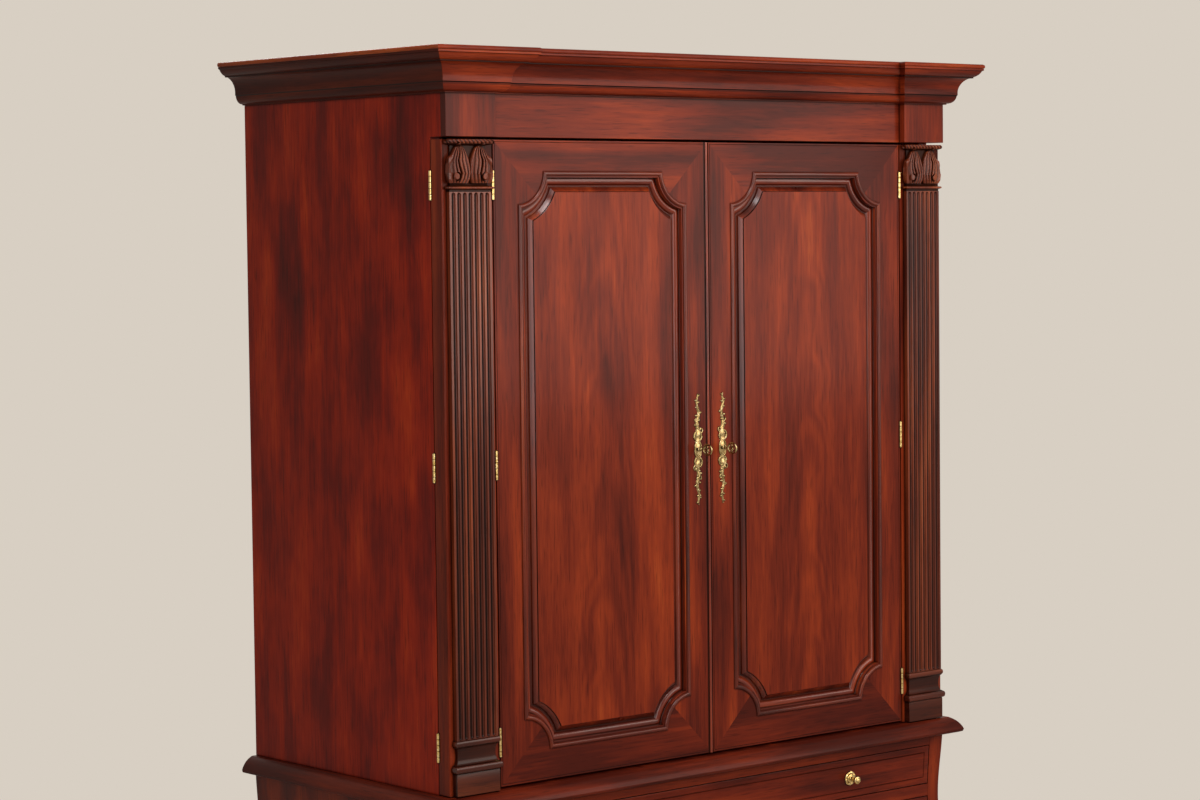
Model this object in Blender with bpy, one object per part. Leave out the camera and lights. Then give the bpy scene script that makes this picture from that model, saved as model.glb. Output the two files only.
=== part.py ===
"""Bombe armoire: a mahogany wardrobe in two parts, standing on bracket feet.

The lower part is a swelling chest of three drawers. The upper part is a cabinet under a
moulded cornice. Each of its doors hangs on a fluted pilaster, and each pilaster is itself
hinged to the side of the case, so that a door can fold right back beside the cabinet.

Units are metres. X runs to the right, the front faces -Y and Z is up. The origin is on the
floor, in the middle of the armoire's width and depth.
"""
import math

import bmesh
import bpy
from mathutils import Matrix, Vector

# Clearances
SEAT = 0.0003                 # between pieces that are glued, screwed or resting together
CLOSING_GAP = 0.0030          # between the two doors
DRAWER_GAP = 0.0015           # round a drawer front in its opening
RUNNING_GAP = 0.0020          # beside a drawer box
PIN_GAP = 0.0007              # round a key's shank or a hinge barrel
WELD = 0.0020                 # how far a shape that is welded on reaches into what it joins

# Upper cabinet
CASE_WIDTH = 1.260
CASE_DEPTH = 0.605            # from the doors' front face to the back
SIDE_THICK = 0.022
BACK_THICK = 0.010
BACK_INSET = 0.002
FLOOR_THICK = 0.018
TOP_THICK = 0.008
FRIEZE_HEIGHT = 0.076         # the part of the frieze that shows below the cornice
FRIEZE_THICK = 0.022
FRIEZE_GAP = 0.0045           # between the frieze and the doors below it
BLOCK_PROUD = 0.014           # the frieze blocks over the pilasters stand forward by this
CORNICE_HEIGHT = 0.071
CORNICE_OUT = 0.0595          # how far the top board reaches beyond the case
CORNICE_LIP = 0.0015          # the top board's edge stands beyond the cornice by this

# Interior
SHELF_THICK = 0.020
SHELF_HEIGHT = 1.010          # shelf's top above the doors' bottom edge
SHELF_SETBACK = 0.030
HANGING_RAIL_RADIUS = 0.0125
HANGING_RAIL_DROP = 0.055     # rail's centre below the shelf
FLANGE_RADIUS = 0.028
FLANGE_THICK = 0.006

# Doors
DOOR_HEIGHT = 1.152
DOOR_THICK = 0.026
DOOR_FLOOR_GAP = 0.005
DOOR_EDGE_GAP = 0.0035        # between a door and the pilaster it hangs on
PANEL_MARGIN = 0.054          # plain frame between a door's edge and its moulding
PANEL_CORNER_RADIUS = 0.059   # the hollow quarter circles at the panel's corners
MOULDING_WIDTH = 0.028
MOULDING_PROUD = 0.0037
PANEL_EDGE_DEPTH = 0.014      # from the door's face to the panel's thin edge
PANEL_EDGE_THICK = 0.006
PANEL_LAP = 0.010             # how far the panel reaches behind the moulding
PANEL_BEVEL = 0.0092          # width of the bevel round the panel's raised field
PANEL_FIELD_STEP = 0.0024     # the field's own edge above the bevel
PANEL_FIELD_DEPTH = 0.0018    # from the door's face to the field
MEETING_BEAD_WIDTH = 0.007
MEETING_BEAD_PROUD = 0.003

# Pilasters
PILASTER_WIDTH = 0.112
PILASTER_THICK = 0.030
PILASTER_FLOOR_GAP = 0.002
SHAFT_WIDTH = 0.093
SHAFT_PROUD = 0.010
FLUTE_COUNT = 7
FLUTE_PITCH = 0.0125
FLUTE_RADIUS = 0.0042
FLUTE_STOP = 0.006            # plain shaft beyond each end of a flute
CAPITAL_HEIGHT = 0.092
BASE_HEIGHT = 0.098
PLINTH_HEIGHT = 0.040
ORNAMENT_PROUD = 0.006        # the most that a capital or base stands beyond the shaft

# Hinges
HINGE_LENGTH = 0.052
HINGE_RADIUS = 0.0030
HINGE_LEAF = 0.0012
HINGE_LEAF_WIDTH = 0.018
HINGE_INSET = 0.080           # from a door's end to the middle of its end hinges
CASE_HINGE_GAP = 0.0024       # between a pilaster and the case behind it

# Locks
KEY_IN = 0.0300               # a key's centre from the meeting edge of its door
KEY_HEIGHT = 0.577            # above the doors' bottom edge
KEY_SHANK_RADIUS = 0.0024
KEY_REACH = 0.0120            # length of shank in front of the escutcheon
KEY_LOOP_RADIUS = 0.0062
KEY_WIRE_RADIUS = 0.0019
KEY_SEGMENTS = 14
ESCUTCHEON_LENGTH = 0.210
ESCUTCHEON_WIDTH = 0.021
ESCUTCHEON_THICK = 0.0025
ESCUTCHEON_TIP = 0.0012       # width of the plate at its tips
LOCK_WIDTH = 0.042
LOCK_HEIGHT = 0.064
LOCK_THICK = 0.012

# Lower chest
LOWER_STEP = 0.002            # the chest's top is wider than the cabinet by this on each side
WAIST_HEIGHT = 0.035
WAIST_OUT = 0.031
TOP_RAIL_HEIGHT = 0.018
TOP_RAIL_DEPTH = 0.030
DRAWER_HEIGHTS = {"top": 0.080, "middle": 0.235, "bottom": 0.255}
RAIL_HEIGHT = 0.0245
RAIL_DEPTH = 0.045
DUST_BOARD_THICK = 0.008
STILE_WIDTH = 0.0370          # the chest's corner stiles at the top
FRAME_HEIGHT = 0.035          # the moulded frame that the chest stands on
FRAME_OUT = 0.016
FOOT_HEIGHT = 0.115
FOOT_LENGTH = 0.175
FOOT_THICK = 0.036
FOOT_IN = 0.006               # the feet stand inside the frame's edge by this
FOOT_OGEE = 0.007             # hollow and swell of a foot's face

# Swell of the chest's front and sides
WAIST_IN = 0.0065             # how far the chest draws in under the waist moulding
WAIST_RISE = 0.0072
WAIST_CURVE = 0.150           # height of the hollow curve under the waist moulding
WAIST_DROP = 0.123            # from the chest's top to its narrowest place
BELLY_OUT = 0.045
BELLY_HEIGHT = 0.330          # height of the fullest place above the floor
BELLY_FOOT_OUT = 0.008        # what is left of the swell at the chest's bottom

# Drawers
DRAWER_FRONT_THICK = 0.024
DRAWER_WALL = 0.012
DRAWER_BOTTOM = 0.008
DRAWER_WALL_DROP = 0.010      # the box's walls stop this far below the opening's top
DRAWER_BACK_GAP = 0.020
KNOB_IN = 0.225               # from the drawer front's end to the knob's centre
KNOB_BASE_RADIUS = 0.014
KNOB_RADIUS = 0.0085
KNOB_OUT = 0.026
KNOB_STANDOFF = 0.0006        # the flat rosette just clears the curve of the front
KNOB_SEGMENTS = 14

# Levels, from the floor up
CHEST_BOTTOM = FOOT_HEIGHT + FRAME_HEIGHT
CHEST_TOP = CHEST_BOTTOM + sum(DRAWER_HEIGHTS.values()) + 2 * RAIL_HEIGHT + TOP_RAIL_HEIGHT
CASE_BOTTOM = CHEST_TOP + WAIST_HEIGHT
DOOR_BOTTOM = CASE_BOTTOM + DOOR_FLOOR_GAP
DOOR_TOP = DOOR_BOTTOM + DOOR_HEIGHT
FRIEZE_BOTTOM = DOOR_TOP + FRIEZE_GAP
CORNICE_BOTTOM = FRIEZE_BOTTOM + FRIEZE_HEIGHT
CASE_TOP = CORNICE_BOTTOM + CORNICE_HEIGHT
HINGE_LEVELS = {
    "top": DOOR_TOP - HINGE_INSET,
    "middle": DOOR_BOTTOM + DOOR_HEIGHT / 2,
    "bottom": DOOR_BOTTOM + HINGE_INSET,
}

# Places in plan
HALF_WIDTH = CASE_WIDTH / 2
FRONT_REACH = max(BLOCK_PROUD + CORNICE_OUT, LOWER_STEP + BELLY_OUT + KNOB_OUT)
FRONT = (FRONT_REACH - CASE_DEPTH) / 2
BACK = FRONT + CASE_DEPTH
BACK_FACE = BACK - BACK_INSET - BACK_THICK      # front of the back panels
CASE_FRONT = FRONT + PILASTER_THICK + CASE_HINGE_GAP
CASE_INSIDE = HALF_WIDTH - SIDE_THICK
PILASTER_INNER = HALF_WIDTH - PILASTER_WIDTH
DOOR_OUTER = PILASTER_INNER - DOOR_EDGE_GAP
DOOR_INNER = CLOSING_GAP / 2
KEY_X = DOOR_INNER + KEY_IN
KEY_Z = DOOR_BOTTOM + KEY_HEIGHT
DOOR_AXIS = (PILASTER_INNER - DOOR_EDGE_GAP / 2, FRONT - SEAT)
CASE_AXIS = (HALF_WIDTH + SEAT, CASE_FRONT - CASE_HINGE_GAP / 2)
CHEST_HALF = HALF_WIDTH + LOWER_STEP
CHEST_FRONT = FRONT - LOWER_STEP
OPENING_HALF = CHEST_HALF - STILE_WIDTH
SIDES = {"left": -1, "right": 1}

pivots = {}


def material(name, colour, roughness, metallic=0.0):
    """A plain Principled material."""
    made = bpy.data.materials.new(name)
    made.use_nodes = True
    shader = made.node_tree.nodes["Principled BSDF"]
    shader.inputs["Base Color"].default_value = (*colour, 1.0)
    shader.inputs["Roughness"].default_value = roughness
    shader.inputs["Metallic"].default_value = metallic
    made.diffuse_color = (*colour, 1.0)
    return made


def pivot(name, place, parent=None):
    """An empty on a joint's axis, which carries the pieces that move with it."""
    empty = bpy.data.objects.new(name, None)
    bpy.context.collection.objects.link(empty)
    home = Vector(place)
    if parent:
        empty.parent = bpy.data.objects[parent]
        empty.location = home - pivots[parent]
    else:
        empty.location = home
    pivots[name] = home
    return empty


def piece(name, mesh, finish=None, on=None, smooth=None):
    """An object from a bmesh in world places, hung on its pivot if it has one."""
    if on:
        bmesh.ops.translate(mesh, verts=mesh.verts, vec=-pivots[on])
    bmesh.ops.recalc_face_normals(mesh, faces=mesh.faces)
    data = bpy.data.meshes.new(name)
    mesh.to_mesh(data)
    mesh.free()
    made = bpy.data.objects.new(name, data)
    bpy.context.collection.objects.link(made)
    if on:
        made.parent = bpy.data.objects[on]
    if finish:
        data.materials.append(finish)
    if smooth:
        data.shade_smooth()
        data.set_sharp_from_angle(angle=math.radians(smooth))
    return made


def combine(target, tool, operation):
    """Cut a piece with a tool object, or weld the tool to it, and keep the tool out of sight."""
    step = target.modifiers.new(tool.name, "BOOLEAN")
    step.operation = operation
    step.solver = "EXACT"
    step.object = tool
    tool.hide_render = True
    tool.display_type = "WIRE"


def stack(loops, mesh=None):
    """Join loops of points one to the next, and close both ends."""
    mesh = mesh or bmesh.new()
    rows = [[mesh.verts.new(point) for point in loop] for loop in loops]
    for lower, upper in zip(rows, rows[1:]):
        for i in range(len(lower)):
            j = (i + 1) % len(lower)
            mesh.faces.new((lower[i], lower[j], upper[j], upper[i]))
    mesh.faces.new(rows[0])
    mesh.faces.new(rows[-1])
    return mesh


def block(x, y, z):
    """A board between two limits on each axis."""
    return stack([
        [(x[0], y[0], level), (x[1], y[0], level), (x[1], y[1], level), (x[0], y[1], level)]
        for level in z
    ])


def mirrored(side, low, high):
    """Limits on X for a piece on the given side."""
    return (side * low, side * high)


def add_rod(mesh, centre, axis, radius, length, segments):
    """Add a closed cylinder to a bmesh."""
    turn = Vector((0, 0, 1)).rotation_difference(Vector(axis)).to_matrix().to_4x4()
    bmesh.ops.create_cone(
        mesh, cap_ends=True, segments=segments, radius1=radius, radius2=radius,
        depth=length, matrix=Matrix.Translation(centre) @ turn,
    )


def bow(start, end, rise, steps):
    """Points on a circular arc that stands off its chord by rise, to the left of the chord."""
    ax, ay = start
    bx, by = end
    chord = math.hypot(bx - ax, by - ay)
    radius = (chord * chord / 4 + rise * rise) / (2 * abs(rise))
    half = math.asin(min(1.0, chord / 2 / radius))
    way = (Vector(end) - Vector(start)) / chord
    left = Vector((-way.y, way.x)) * math.copysign(1, rise)
    middle = (Vector(start) + Vector(end)) / 2 + left * (abs(rise) - radius)
    points = []
    for i in range(steps + 1):
        angle = half * (2 * i / steps - 1)
        points.append(middle + way * radius * math.sin(angle) + left * radius * math.cos(angle))
    return [(point.x, point.y) for point in points]


def swell(level):
    """How far the chest stands out beyond its top at a height above the floor."""
    narrow = CHEST_TOP - WAIST_DROP
    if level >= narrow:
        turn = math.pi * (level - narrow) / WAIST_CURVE
        return -WAIST_IN + WAIST_RISE * (1 - math.cos(turn)) / 2
    if level >= BELLY_HEIGHT:
        turn = math.pi * (narrow - level) / (narrow - BELLY_HEIGHT)
        return -WAIST_IN + (BELLY_OUT + WAIST_IN) * (1 - math.cos(turn)) / 2
    turn = math.pi / 2 * (BELLY_HEIGHT - level) / (BELLY_HEIGHT - CHEST_BOTTOM)
    return BELLY_OUT - (BELLY_OUT - BELLY_FOOT_OUT) * (1 - math.cos(turn))


def levels(low, high, steps):
    """Heights evenly spaced from low to high."""
    return [low + (high - low) * i / steps for i in range(steps + 1)]


def case_outline(out):
    """Plan of the cabinet's top, grown by out, with its steps forward over the pilasters."""
    wide = HALF_WIDTH + out
    inner = PILASTER_INNER - out
    proud = FRONT - BLOCK_PROUD - out
    plain = FRONT - out
    half = [(wide, BACK), (wide, proud), (inner, proud), (inner, plain)]
    return half + [(-x, y) for x, y in reversed(half)]


def scaled(points, wide, high):
    """Points given as shares of a width and a height, at their real size."""
    return [(x * wide, y * high) for x, y in points]


def cornice_profile():
    """The cornice's section as (out, up) points, from its foot to its top and back down."""
    reach = CORNICE_OUT - CORNICE_LIP
    foot = [(0.086, 0.0), (0.086, 0.028)]
    ovolo = bow((0.103, 0.028), (0.336, 0.239), -0.060, 5)
    hollow = bow((0.362, 0.268), (0.645, 0.728), 0.095, 7)
    bevel = bow((0.743, 0.761), (0.955, 0.930), -0.028, 4)
    face = scaled(foot + ovolo + hollow + [(0.743, 0.728)] + bevel + [(1.0, 0.941)],
                  reach, CORNICE_HEIGHT)
    top = CORNICE_HEIGHT - SEAT
    return [(SEAT, 0.0)] + face + [(reach, top), (SEAT, top)]


def make_upper_case(wood, inside):
    """Sides, back, floor, frieze, cornice and top of the cabinet."""
    for side_name, side in SIDES.items():
        outline = [
            (CASE_FRONT, CASE_BOTTOM + SEAT), (BACK, CASE_BOTTOM + SEAT),
            (BACK, CASE_TOP - SEAT), (FRONT, CASE_TOP - SEAT),
            (FRONT, FRIEZE_BOTTOM), (CASE_FRONT, FRIEZE_BOTTOM),
        ]
        board = stack([[(x, y, z) for y, z in outline]
                       for x in mirrored(side, CASE_INSIDE, HALF_WIDTH)])
        panel = piece(f"upper_side_{side_name}", board, wood)
        combine(panel, hinge_recesses(f"case_hinge_recess_{side_name}", side, CASE_AXIS),
                "DIFFERENCE")
    inside_span = (SEAT - CASE_INSIDE, CASE_INSIDE - SEAT)
    piece("upper_back",
          block(inside_span, (BACK_FACE, BACK - BACK_INSET),
                (CASE_BOTTOM + SEAT, CASE_TOP - SEAT)), inside)
    piece("upper_floor",
          block(inside_span, (CASE_FRONT, BACK_FACE - SEAT),
                (CASE_BOTTOM + SEAT, CASE_BOTTOM + FLOOR_THICK)), inside)
    behind = FRONT - SEAT
    plan = [
        (HALF_WIDTH, behind), (HALF_WIDTH, FRONT - BLOCK_PROUD),
        (PILASTER_INNER, FRONT - BLOCK_PROUD), (PILASTER_INNER, FRONT),
    ]
    plan += [(-x, y) for x, y in reversed(plan)]
    rail_end = CASE_INSIDE - SEAT
    plan += [(-rail_end, behind), (-rail_end, FRONT + FRIEZE_THICK),
             (rail_end, FRONT + FRIEZE_THICK), (rail_end, behind)]
    piece("frieze", stack([[(x, y, z) for x, y in plan]
                           for z in (FRIEZE_BOTTOM, CASE_TOP - SEAT)]), wood)
    make_cornice(wood)
    edge = scaled([(-0.19, 0.0), (0.0, 0.19), (0.0, 0.69), (-0.37, 1.0)], TOP_THICK, TOP_THICK)
    piece("top_board", stack([[(x, y, CASE_TOP + up) for x, y in case_outline(CORNICE_OUT + out)]
                              for out, up in edge]), wood)


def make_cornice(wood):
    """One mitred moulding round the front and both sides."""
    mesh = bmesh.new()
    section = cornice_profile()
    columns = [case_outline(out) for out, _ in section]
    rows = []
    for i in range(len(columns[0])):
        rows.append([mesh.verts.new((*column[i], CORNICE_BOTTOM + up))
                     for column, (_, up) in zip(columns, section)])
    for near, far in zip(rows, rows[1:]):
        for i in range(len(section)):
            j = (i + 1) % len(section)
            mesh.faces.new((near[i], near[j], far[j], far[i]))
    mesh.faces.new(rows[0])
    mesh.faces.new(rows[-1])
    piece("cornice", mesh, wood)


def make_interior(inside, brass):
    """The hat shelf and the hanging rail below it."""
    top = DOOR_BOTTOM + SHELF_HEIGHT
    span = (SEAT - CASE_INSIDE, CASE_INSIDE - SEAT)
    piece("hat_shelf",
          block(span, (CASE_FRONT + SHELF_SETBACK, BACK_FACE - SEAT), (top - SHELF_THICK, top)),
          inside)
    rail_z = top - SHELF_THICK - HANGING_RAIL_DROP
    rail_y = (CASE_FRONT + BACK_FACE) / 2
    turned = [(span[0], FLANGE_RADIUS), (span[0] + FLANGE_THICK, FLANGE_RADIUS),
              (span[0] + FLANGE_THICK, HANGING_RAIL_RADIUS)]
    turned += [(-x, radius) for x, radius in reversed(turned)]
    loops = []
    for x, radius in turned:
        loops.append([(x, rail_y + radius * math.cos(math.tau * i / 16),
                       rail_z + radius * math.sin(math.tau * i / 16)) for i in range(16)])
    piece("hanging_rail", stack(loops), brass, smooth=40)


def hinge_recesses(name, side, axis, on=None):
    """A cutter that makes room for the three barrels of one hinge line."""
    mesh = bmesh.new()
    for level in HINGE_LEVELS.values():
        add_rod(mesh, (side * axis[0], axis[1], level), (0, 0, 1),
                HINGE_RADIUS + PIN_GAP, HINGE_LENGTH + 2 * PIN_GAP, 12)
    return piece(name, mesh, on=on)


def hinge(name, side, axis, level, leaf, low, brass, on=None):
    """A barrel with one leaf; leaf is the leaf's direction, low its near face's offset."""
    way = Vector((side * leaf[0], leaf[1]))
    across = Vector((-way.y, way.x)) * side
    first = math.asin(low / HINGE_RADIUS)
    last = math.asin((low + HINGE_LEAF) / HINGE_RADIUS)
    plan = [way * HINGE_LEAF_WIDTH + across * low,
            way * HINGE_LEAF_WIDTH + across * (low + HINGE_LEAF)]
    for i in range(13):
        angle = last + (math.tau + first - last) * i / 12
        plan.append((way * math.cos(angle) + across * math.sin(angle)) * HINGE_RADIUS)
    centre = Vector((side * axis[0], axis[1]))
    loops = [[(*(centre + point), z) for point in plan]
             for z in (level - HINGE_LENGTH / 2, level + HINGE_LENGTH / 2)]
    piece(name, stack(loops), brass, on=on, smooth=40)


def capital_section():
    """A capital's (out, up) points: a bead, a bell with a bulge and a waist, and a band."""
    return scaled([
        (0.58, 0.0), (1.0, 0.022), (1.0, 0.054), (0.58, 0.087), (0.0, 0.109), (0.08, 0.174),
        (0.33, 0.326), (0.17, 0.489), (-0.33, 0.652), (-0.67, 0.815), (-0.42, 0.891),
        (0.50, 0.902), (0.67, 0.935), (0.67, 0.978), (0.50, 1.0),
    ], ORNAMENT_PROUD, CAPITAL_HEIGHT)


def base_section():
    """A base's (out, up) points: a plinth, a bead, a hollow and a smaller bead."""
    rise = BASE_HEIGHT - PLINTH_HEIGHT
    mouldings = scaled([
        (0.67, 0.017), (1.0, 0.06), (1.0, 0.17), (0.67, 0.216), (0.20, 0.24), (0.0, 0.345),
        (-0.50, 0.466), (-0.67, 0.62), (-0.50, 0.74), (0.25, 0.83), (0.50, 0.86),
        (0.50, 0.93), (0.17, 1.0),
    ], ORNAMENT_PROUD, rise)
    plinth_out = 0.3 * ORNAMENT_PROUD
    return [(plinth_out, 0.0), (plinth_out, PLINTH_HEIGHT)] + [
        (out, PLINTH_HEIGHT + up) for out, up in mouldings]


def make_pilaster(side_name, side, wood, brass):
    """A hinged stile with its fluted shaft, capital, base and the hinges of its door."""
    body = f"pilaster_{side_name}_axis"
    pivot(body, (side * CASE_AXIS[0], CASE_AXIS[1], DOOR_BOTTOM))
    bottom = CASE_BOTTOM + PILASTER_FLOOR_GAP
    middle = side * (PILASTER_INNER + PILASTER_WIDTH / 2)
    shaft = (middle - SHAFT_WIDTH / 2, middle + SHAFT_WIDTH / 2)
    shaft_low = bottom + BASE_HEIGHT
    shaft_high = DOOR_TOP - CAPITAL_HEIGHT
    stile = piece(f"pilaster_stile_{side_name}",
                  block(mirrored(side, PILASTER_INNER, HALF_WIDTH),
                        (FRONT, FRONT + PILASTER_THICK), (bottom, DOOR_TOP)), wood, on=body)
    raised = piece(f"shaft_{side_name}_tool",
                   block(shaft, (FRONT - SHAFT_PROUD, FRONT + WELD),
                         (shaft_low + SEAT, shaft_high - SEAT)), on=body)
    combine(stile, raised, "UNION")
    flutes = bmesh.new()
    for i in range(FLUTE_COUNT):
        x = middle + (i - (FLUTE_COUNT - 1) / 2) * FLUTE_PITCH
        add_flute(flutes, x, shaft_low + FLUTE_STOP, shaft_high - FLUTE_STOP)
    combine(stile, piece(f"flutes_{side_name}_tool", flutes, on=body), "DIFFERENCE")
    for tool_name, axis in (("case_side", CASE_AXIS), ("door_side", DOOR_AXIS)):
        combine(stile, hinge_recesses(f"{tool_name}_recess_{side_name}", side, axis, body),
                "DIFFERENCE")
    for part, low, section in (("base", bottom, base_section()),
                               ("capital", shaft_high, capital_section())):
        loops = []
        for out, up in section:
            front = FRONT - SHAFT_PROUD - out
            rear = FRONT - SEAT
            near = shaft[0] - out
            far = shaft[1] + out
            loops.append([(near, front, low + up), (far, front, low + up),
                          (far, rear, low + up), (near, rear, low + up)])
        piece(f"pilaster_{part}_{side_name}", stack(loops), wood, on=body)
    for level_name, level in HINGE_LEVELS.items():
        hinge(f"door_hinge_{side_name}_{level_name}", side, DOOR_AXIS, level, (0, 1),
              DOOR_AXIS[0] + SEAT - PILASTER_INNER, brass, on=body)
        hinge(f"case_hinge_{side_name}_{level_name}", side, CASE_AXIS, level, (-1, 0),
              CASE_AXIS[1] + SEAT - CASE_FRONT, brass)


def add_flute(mesh, x, low, high):
    """Add the cutter of one round-ended flute, on the shaft's front face."""
    y = FRONT - SHAFT_PROUD
    ends = [(math.radians(a), -1) for a in (80, 50, 25, 0)]
    ends += [(angle, 1) for angle, _ in reversed(ends)]
    loops = []
    for angle, way in ends:
        level = (low if way < 0 else high) + way * FLUTE_RADIUS * (math.sin(angle) - 1)
        radius = FLUTE_RADIUS * math.cos(angle)
        loops.append([(x + radius * math.cos(math.tau * i / 12),
                       y + radius * math.sin(math.tau * i / 12), level) for i in range(12)])
    stack(loops, mesh)


def panel_loop(centre, inset, depth, steps=6):
    """The panel moulding's outline with its hollow corners, moved inwards by inset."""
    half_x = (DOOR_OUTER - DOOR_INNER) / 2 - PANEL_MARGIN
    half_z = DOOR_HEIGHT / 2 - PANEL_MARGIN
    radius = PANEL_CORNER_RADIUS + inset
    lean = math.asin(inset / radius)
    loop = []
    for sx, sz in ((1, 1), (1, -1), (-1, -1), (-1, 1)):
        arc = []
        for i in range(steps + 1):
            angle = lean + (math.pi / 2 - 2 * lean) * i / steps
            arc.append((centre[0] + sx * (half_x - radius * math.cos(angle)), FRONT + depth,
                        centre[1] + sz * (half_z - radius * math.sin(angle))))
        loop += arc if sx * sz > 0 else reversed(arc)
    return loop


def moulding_profile():
    """The panel moulding's section as (inset, depth) points, from the frame to the panel."""
    roll = bow((0.03 * MOULDING_WIDTH, 0.08 * MOULDING_PROUD),
               (0.33 * MOULDING_WIDTH, 0.08 * MOULDING_PROUD), -1.08 * MOULDING_PROUD, 7)
    fillet = [(0.33 * MOULDING_WIDTH, 0.50 * PANEL_EDGE_DEPTH),
              (0.47 * MOULDING_WIDTH, 0.50 * PANEL_EDGE_DEPTH)]
    swell = bow((0.48 * MOULDING_WIDTH, 0.65 * PANEL_EDGE_DEPTH),
                (0.95 * MOULDING_WIDTH, 0.91 * PANEL_EDGE_DEPTH), -0.08 * MOULDING_WIDTH, 5)
    lip = [(MOULDING_WIDTH, 0.91 * PANEL_EDGE_DEPTH), (MOULDING_WIDTH, PANEL_EDGE_DEPTH - SEAT)]
    return [(0.0, 0.0)] + roll + fillet + swell + lip


def panel_board(centre):
    """A panel with its raised field: its thin edge sits behind the moulding."""
    lap = MOULDING_WIDTH - PANEL_LAP + SEAT
    bevel = MOULDING_WIDTH + SEAT
    field = bevel + PANEL_BEVEL
    section = [(lap, PANEL_EDGE_DEPTH + PANEL_EDGE_THICK), (lap, PANEL_EDGE_DEPTH),
               (bevel, PANEL_EDGE_DEPTH), (field, PANEL_FIELD_DEPTH + PANEL_FIELD_STEP),
               (field + PANEL_FIELD_STEP / 3, PANEL_FIELD_DEPTH)]
    return stack([panel_loop(centre, inset, depth) for inset, depth in section])


def make_door(side_name, side, wood, brass, steel):
    """A framed door with its fielded panel, lock, escutcheon and key."""
    body = f"door_{side_name}_axis"
    pivot(body, (side * DOOR_AXIS[0], DOOR_AXIS[1], DOOR_BOTTOM),
          parent=f"pilaster_{side_name}_axis")
    centre = (side * (DOOR_INNER + DOOR_OUTER) / 2, DOOR_BOTTOM + DOOR_HEIGHT / 2)
    section = moulding_profile()
    rebate = MOULDING_WIDTH - PANEL_LAP
    section += [(rebate, PANEL_EDGE_DEPTH - SEAT), (rebate, DOOR_THICK)]
    mesh = bmesh.new()
    rows = [[mesh.verts.new(point) for point in panel_loop(centre, inset, depth)]
            for inset, depth in section]
    for near, far in zip(rows, rows[1:]):
        for i in range(len(near)):
            j = (i + 1) % len(near)
            mesh.faces.new((near[i], near[j], far[j], far[i]))
    edges = []
    for y in (FRONT, FRONT + DOOR_THICK):
        edges.append([mesh.verts.new((side * x, y, z)) for x, z in (
            (DOOR_INNER, DOOR_BOTTOM), (DOOR_OUTER, DOOR_BOTTOM),
            (DOOR_OUTER, DOOR_TOP), (DOOR_INNER, DOOR_TOP))])
    for i in range(4):
        j = (i + 1) % 4
        mesh.faces.new((edges[0][i], edges[0][j], edges[1][j], edges[1][i]))
    for outer, ring in ((edges[0], rows[0]), (edges[1], rows[-1])):
        rim = [mesh.edges.get((loop[i - 1], loop[i])) for loop in (outer, ring)
               for i in range(len(loop))]
        bmesh.ops.triangle_fill(mesh, edges=rim, use_beauty=True)
    frame = piece(f"door_frame_{side_name}", mesh, wood, on=body)
    if side < 0:
        combine(frame, meeting_bead(side, body), "UNION")
    combine(frame, hinge_recesses(f"door_recess_{side_name}", side, DOOR_AXIS, body),
            "DIFFERENCE")
    combine(frame, key_hole(f"door_{side_name}", side, body), "DIFFERENCE")
    piece(f"door_panel_{side_name}", panel_board(centre), wood, on=body)
    make_lock(side_name, side, body, brass, steel)


def meeting_bead(side, body):
    """The half-round bead along the left door's meeting edge."""
    low = side * DOOR_INNER
    section = bow((low + side * MEETING_BEAD_WIDTH, FRONT), (low, FRONT),
                  -MEETING_BEAD_PROUD, 5)
    section += [(low, FRONT + WELD), (low + side * MEETING_BEAD_WIDTH, FRONT + WELD)]
    return piece("meeting_bead_tool",
                 stack([[(x, y, z) for x, y in section] for z in (DOOR_BOTTOM, DOOR_TOP)]),
                 on=body)


def key_hole(name, side, body):
    """A cutter for the hole that a key's shank turns in."""
    mesh = bmesh.new()
    add_rod(mesh, (side * KEY_X, FRONT + DOOR_THICK / 2, KEY_Z), (0, 1, 0),
            KEY_SHANK_RADIUS + PIN_GAP, 3 * DOOR_THICK, 12)
    return piece(f"{name}_key_hole", mesh, on=body)


def escutcheon_outline():
    """Half of a leafy plate as (up, left edge, right edge) rows from its middle to its tip."""
    rows = []
    count = 22
    for i in range(count + 1):
        t = i / count
        scrolls = 0.5 + 0.5 * math.cos(math.tau * (2.5 * t - 0.02))
        taper = (1 - t ** 3) * (1 - 0.45 * t)
        half = (ESCUTCHEON_WIDTH * taper * (0.34 + 0.66 * scrolls) + ESCUTCHEON_TIP) / 2
        lean = 0.16 * ESCUTCHEON_WIDTH * math.sin(math.tau * 1.1 * t)
        rows.append((ESCUTCHEON_LENGTH / 2 * t, lean - half, lean + half))
    return rows


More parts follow.
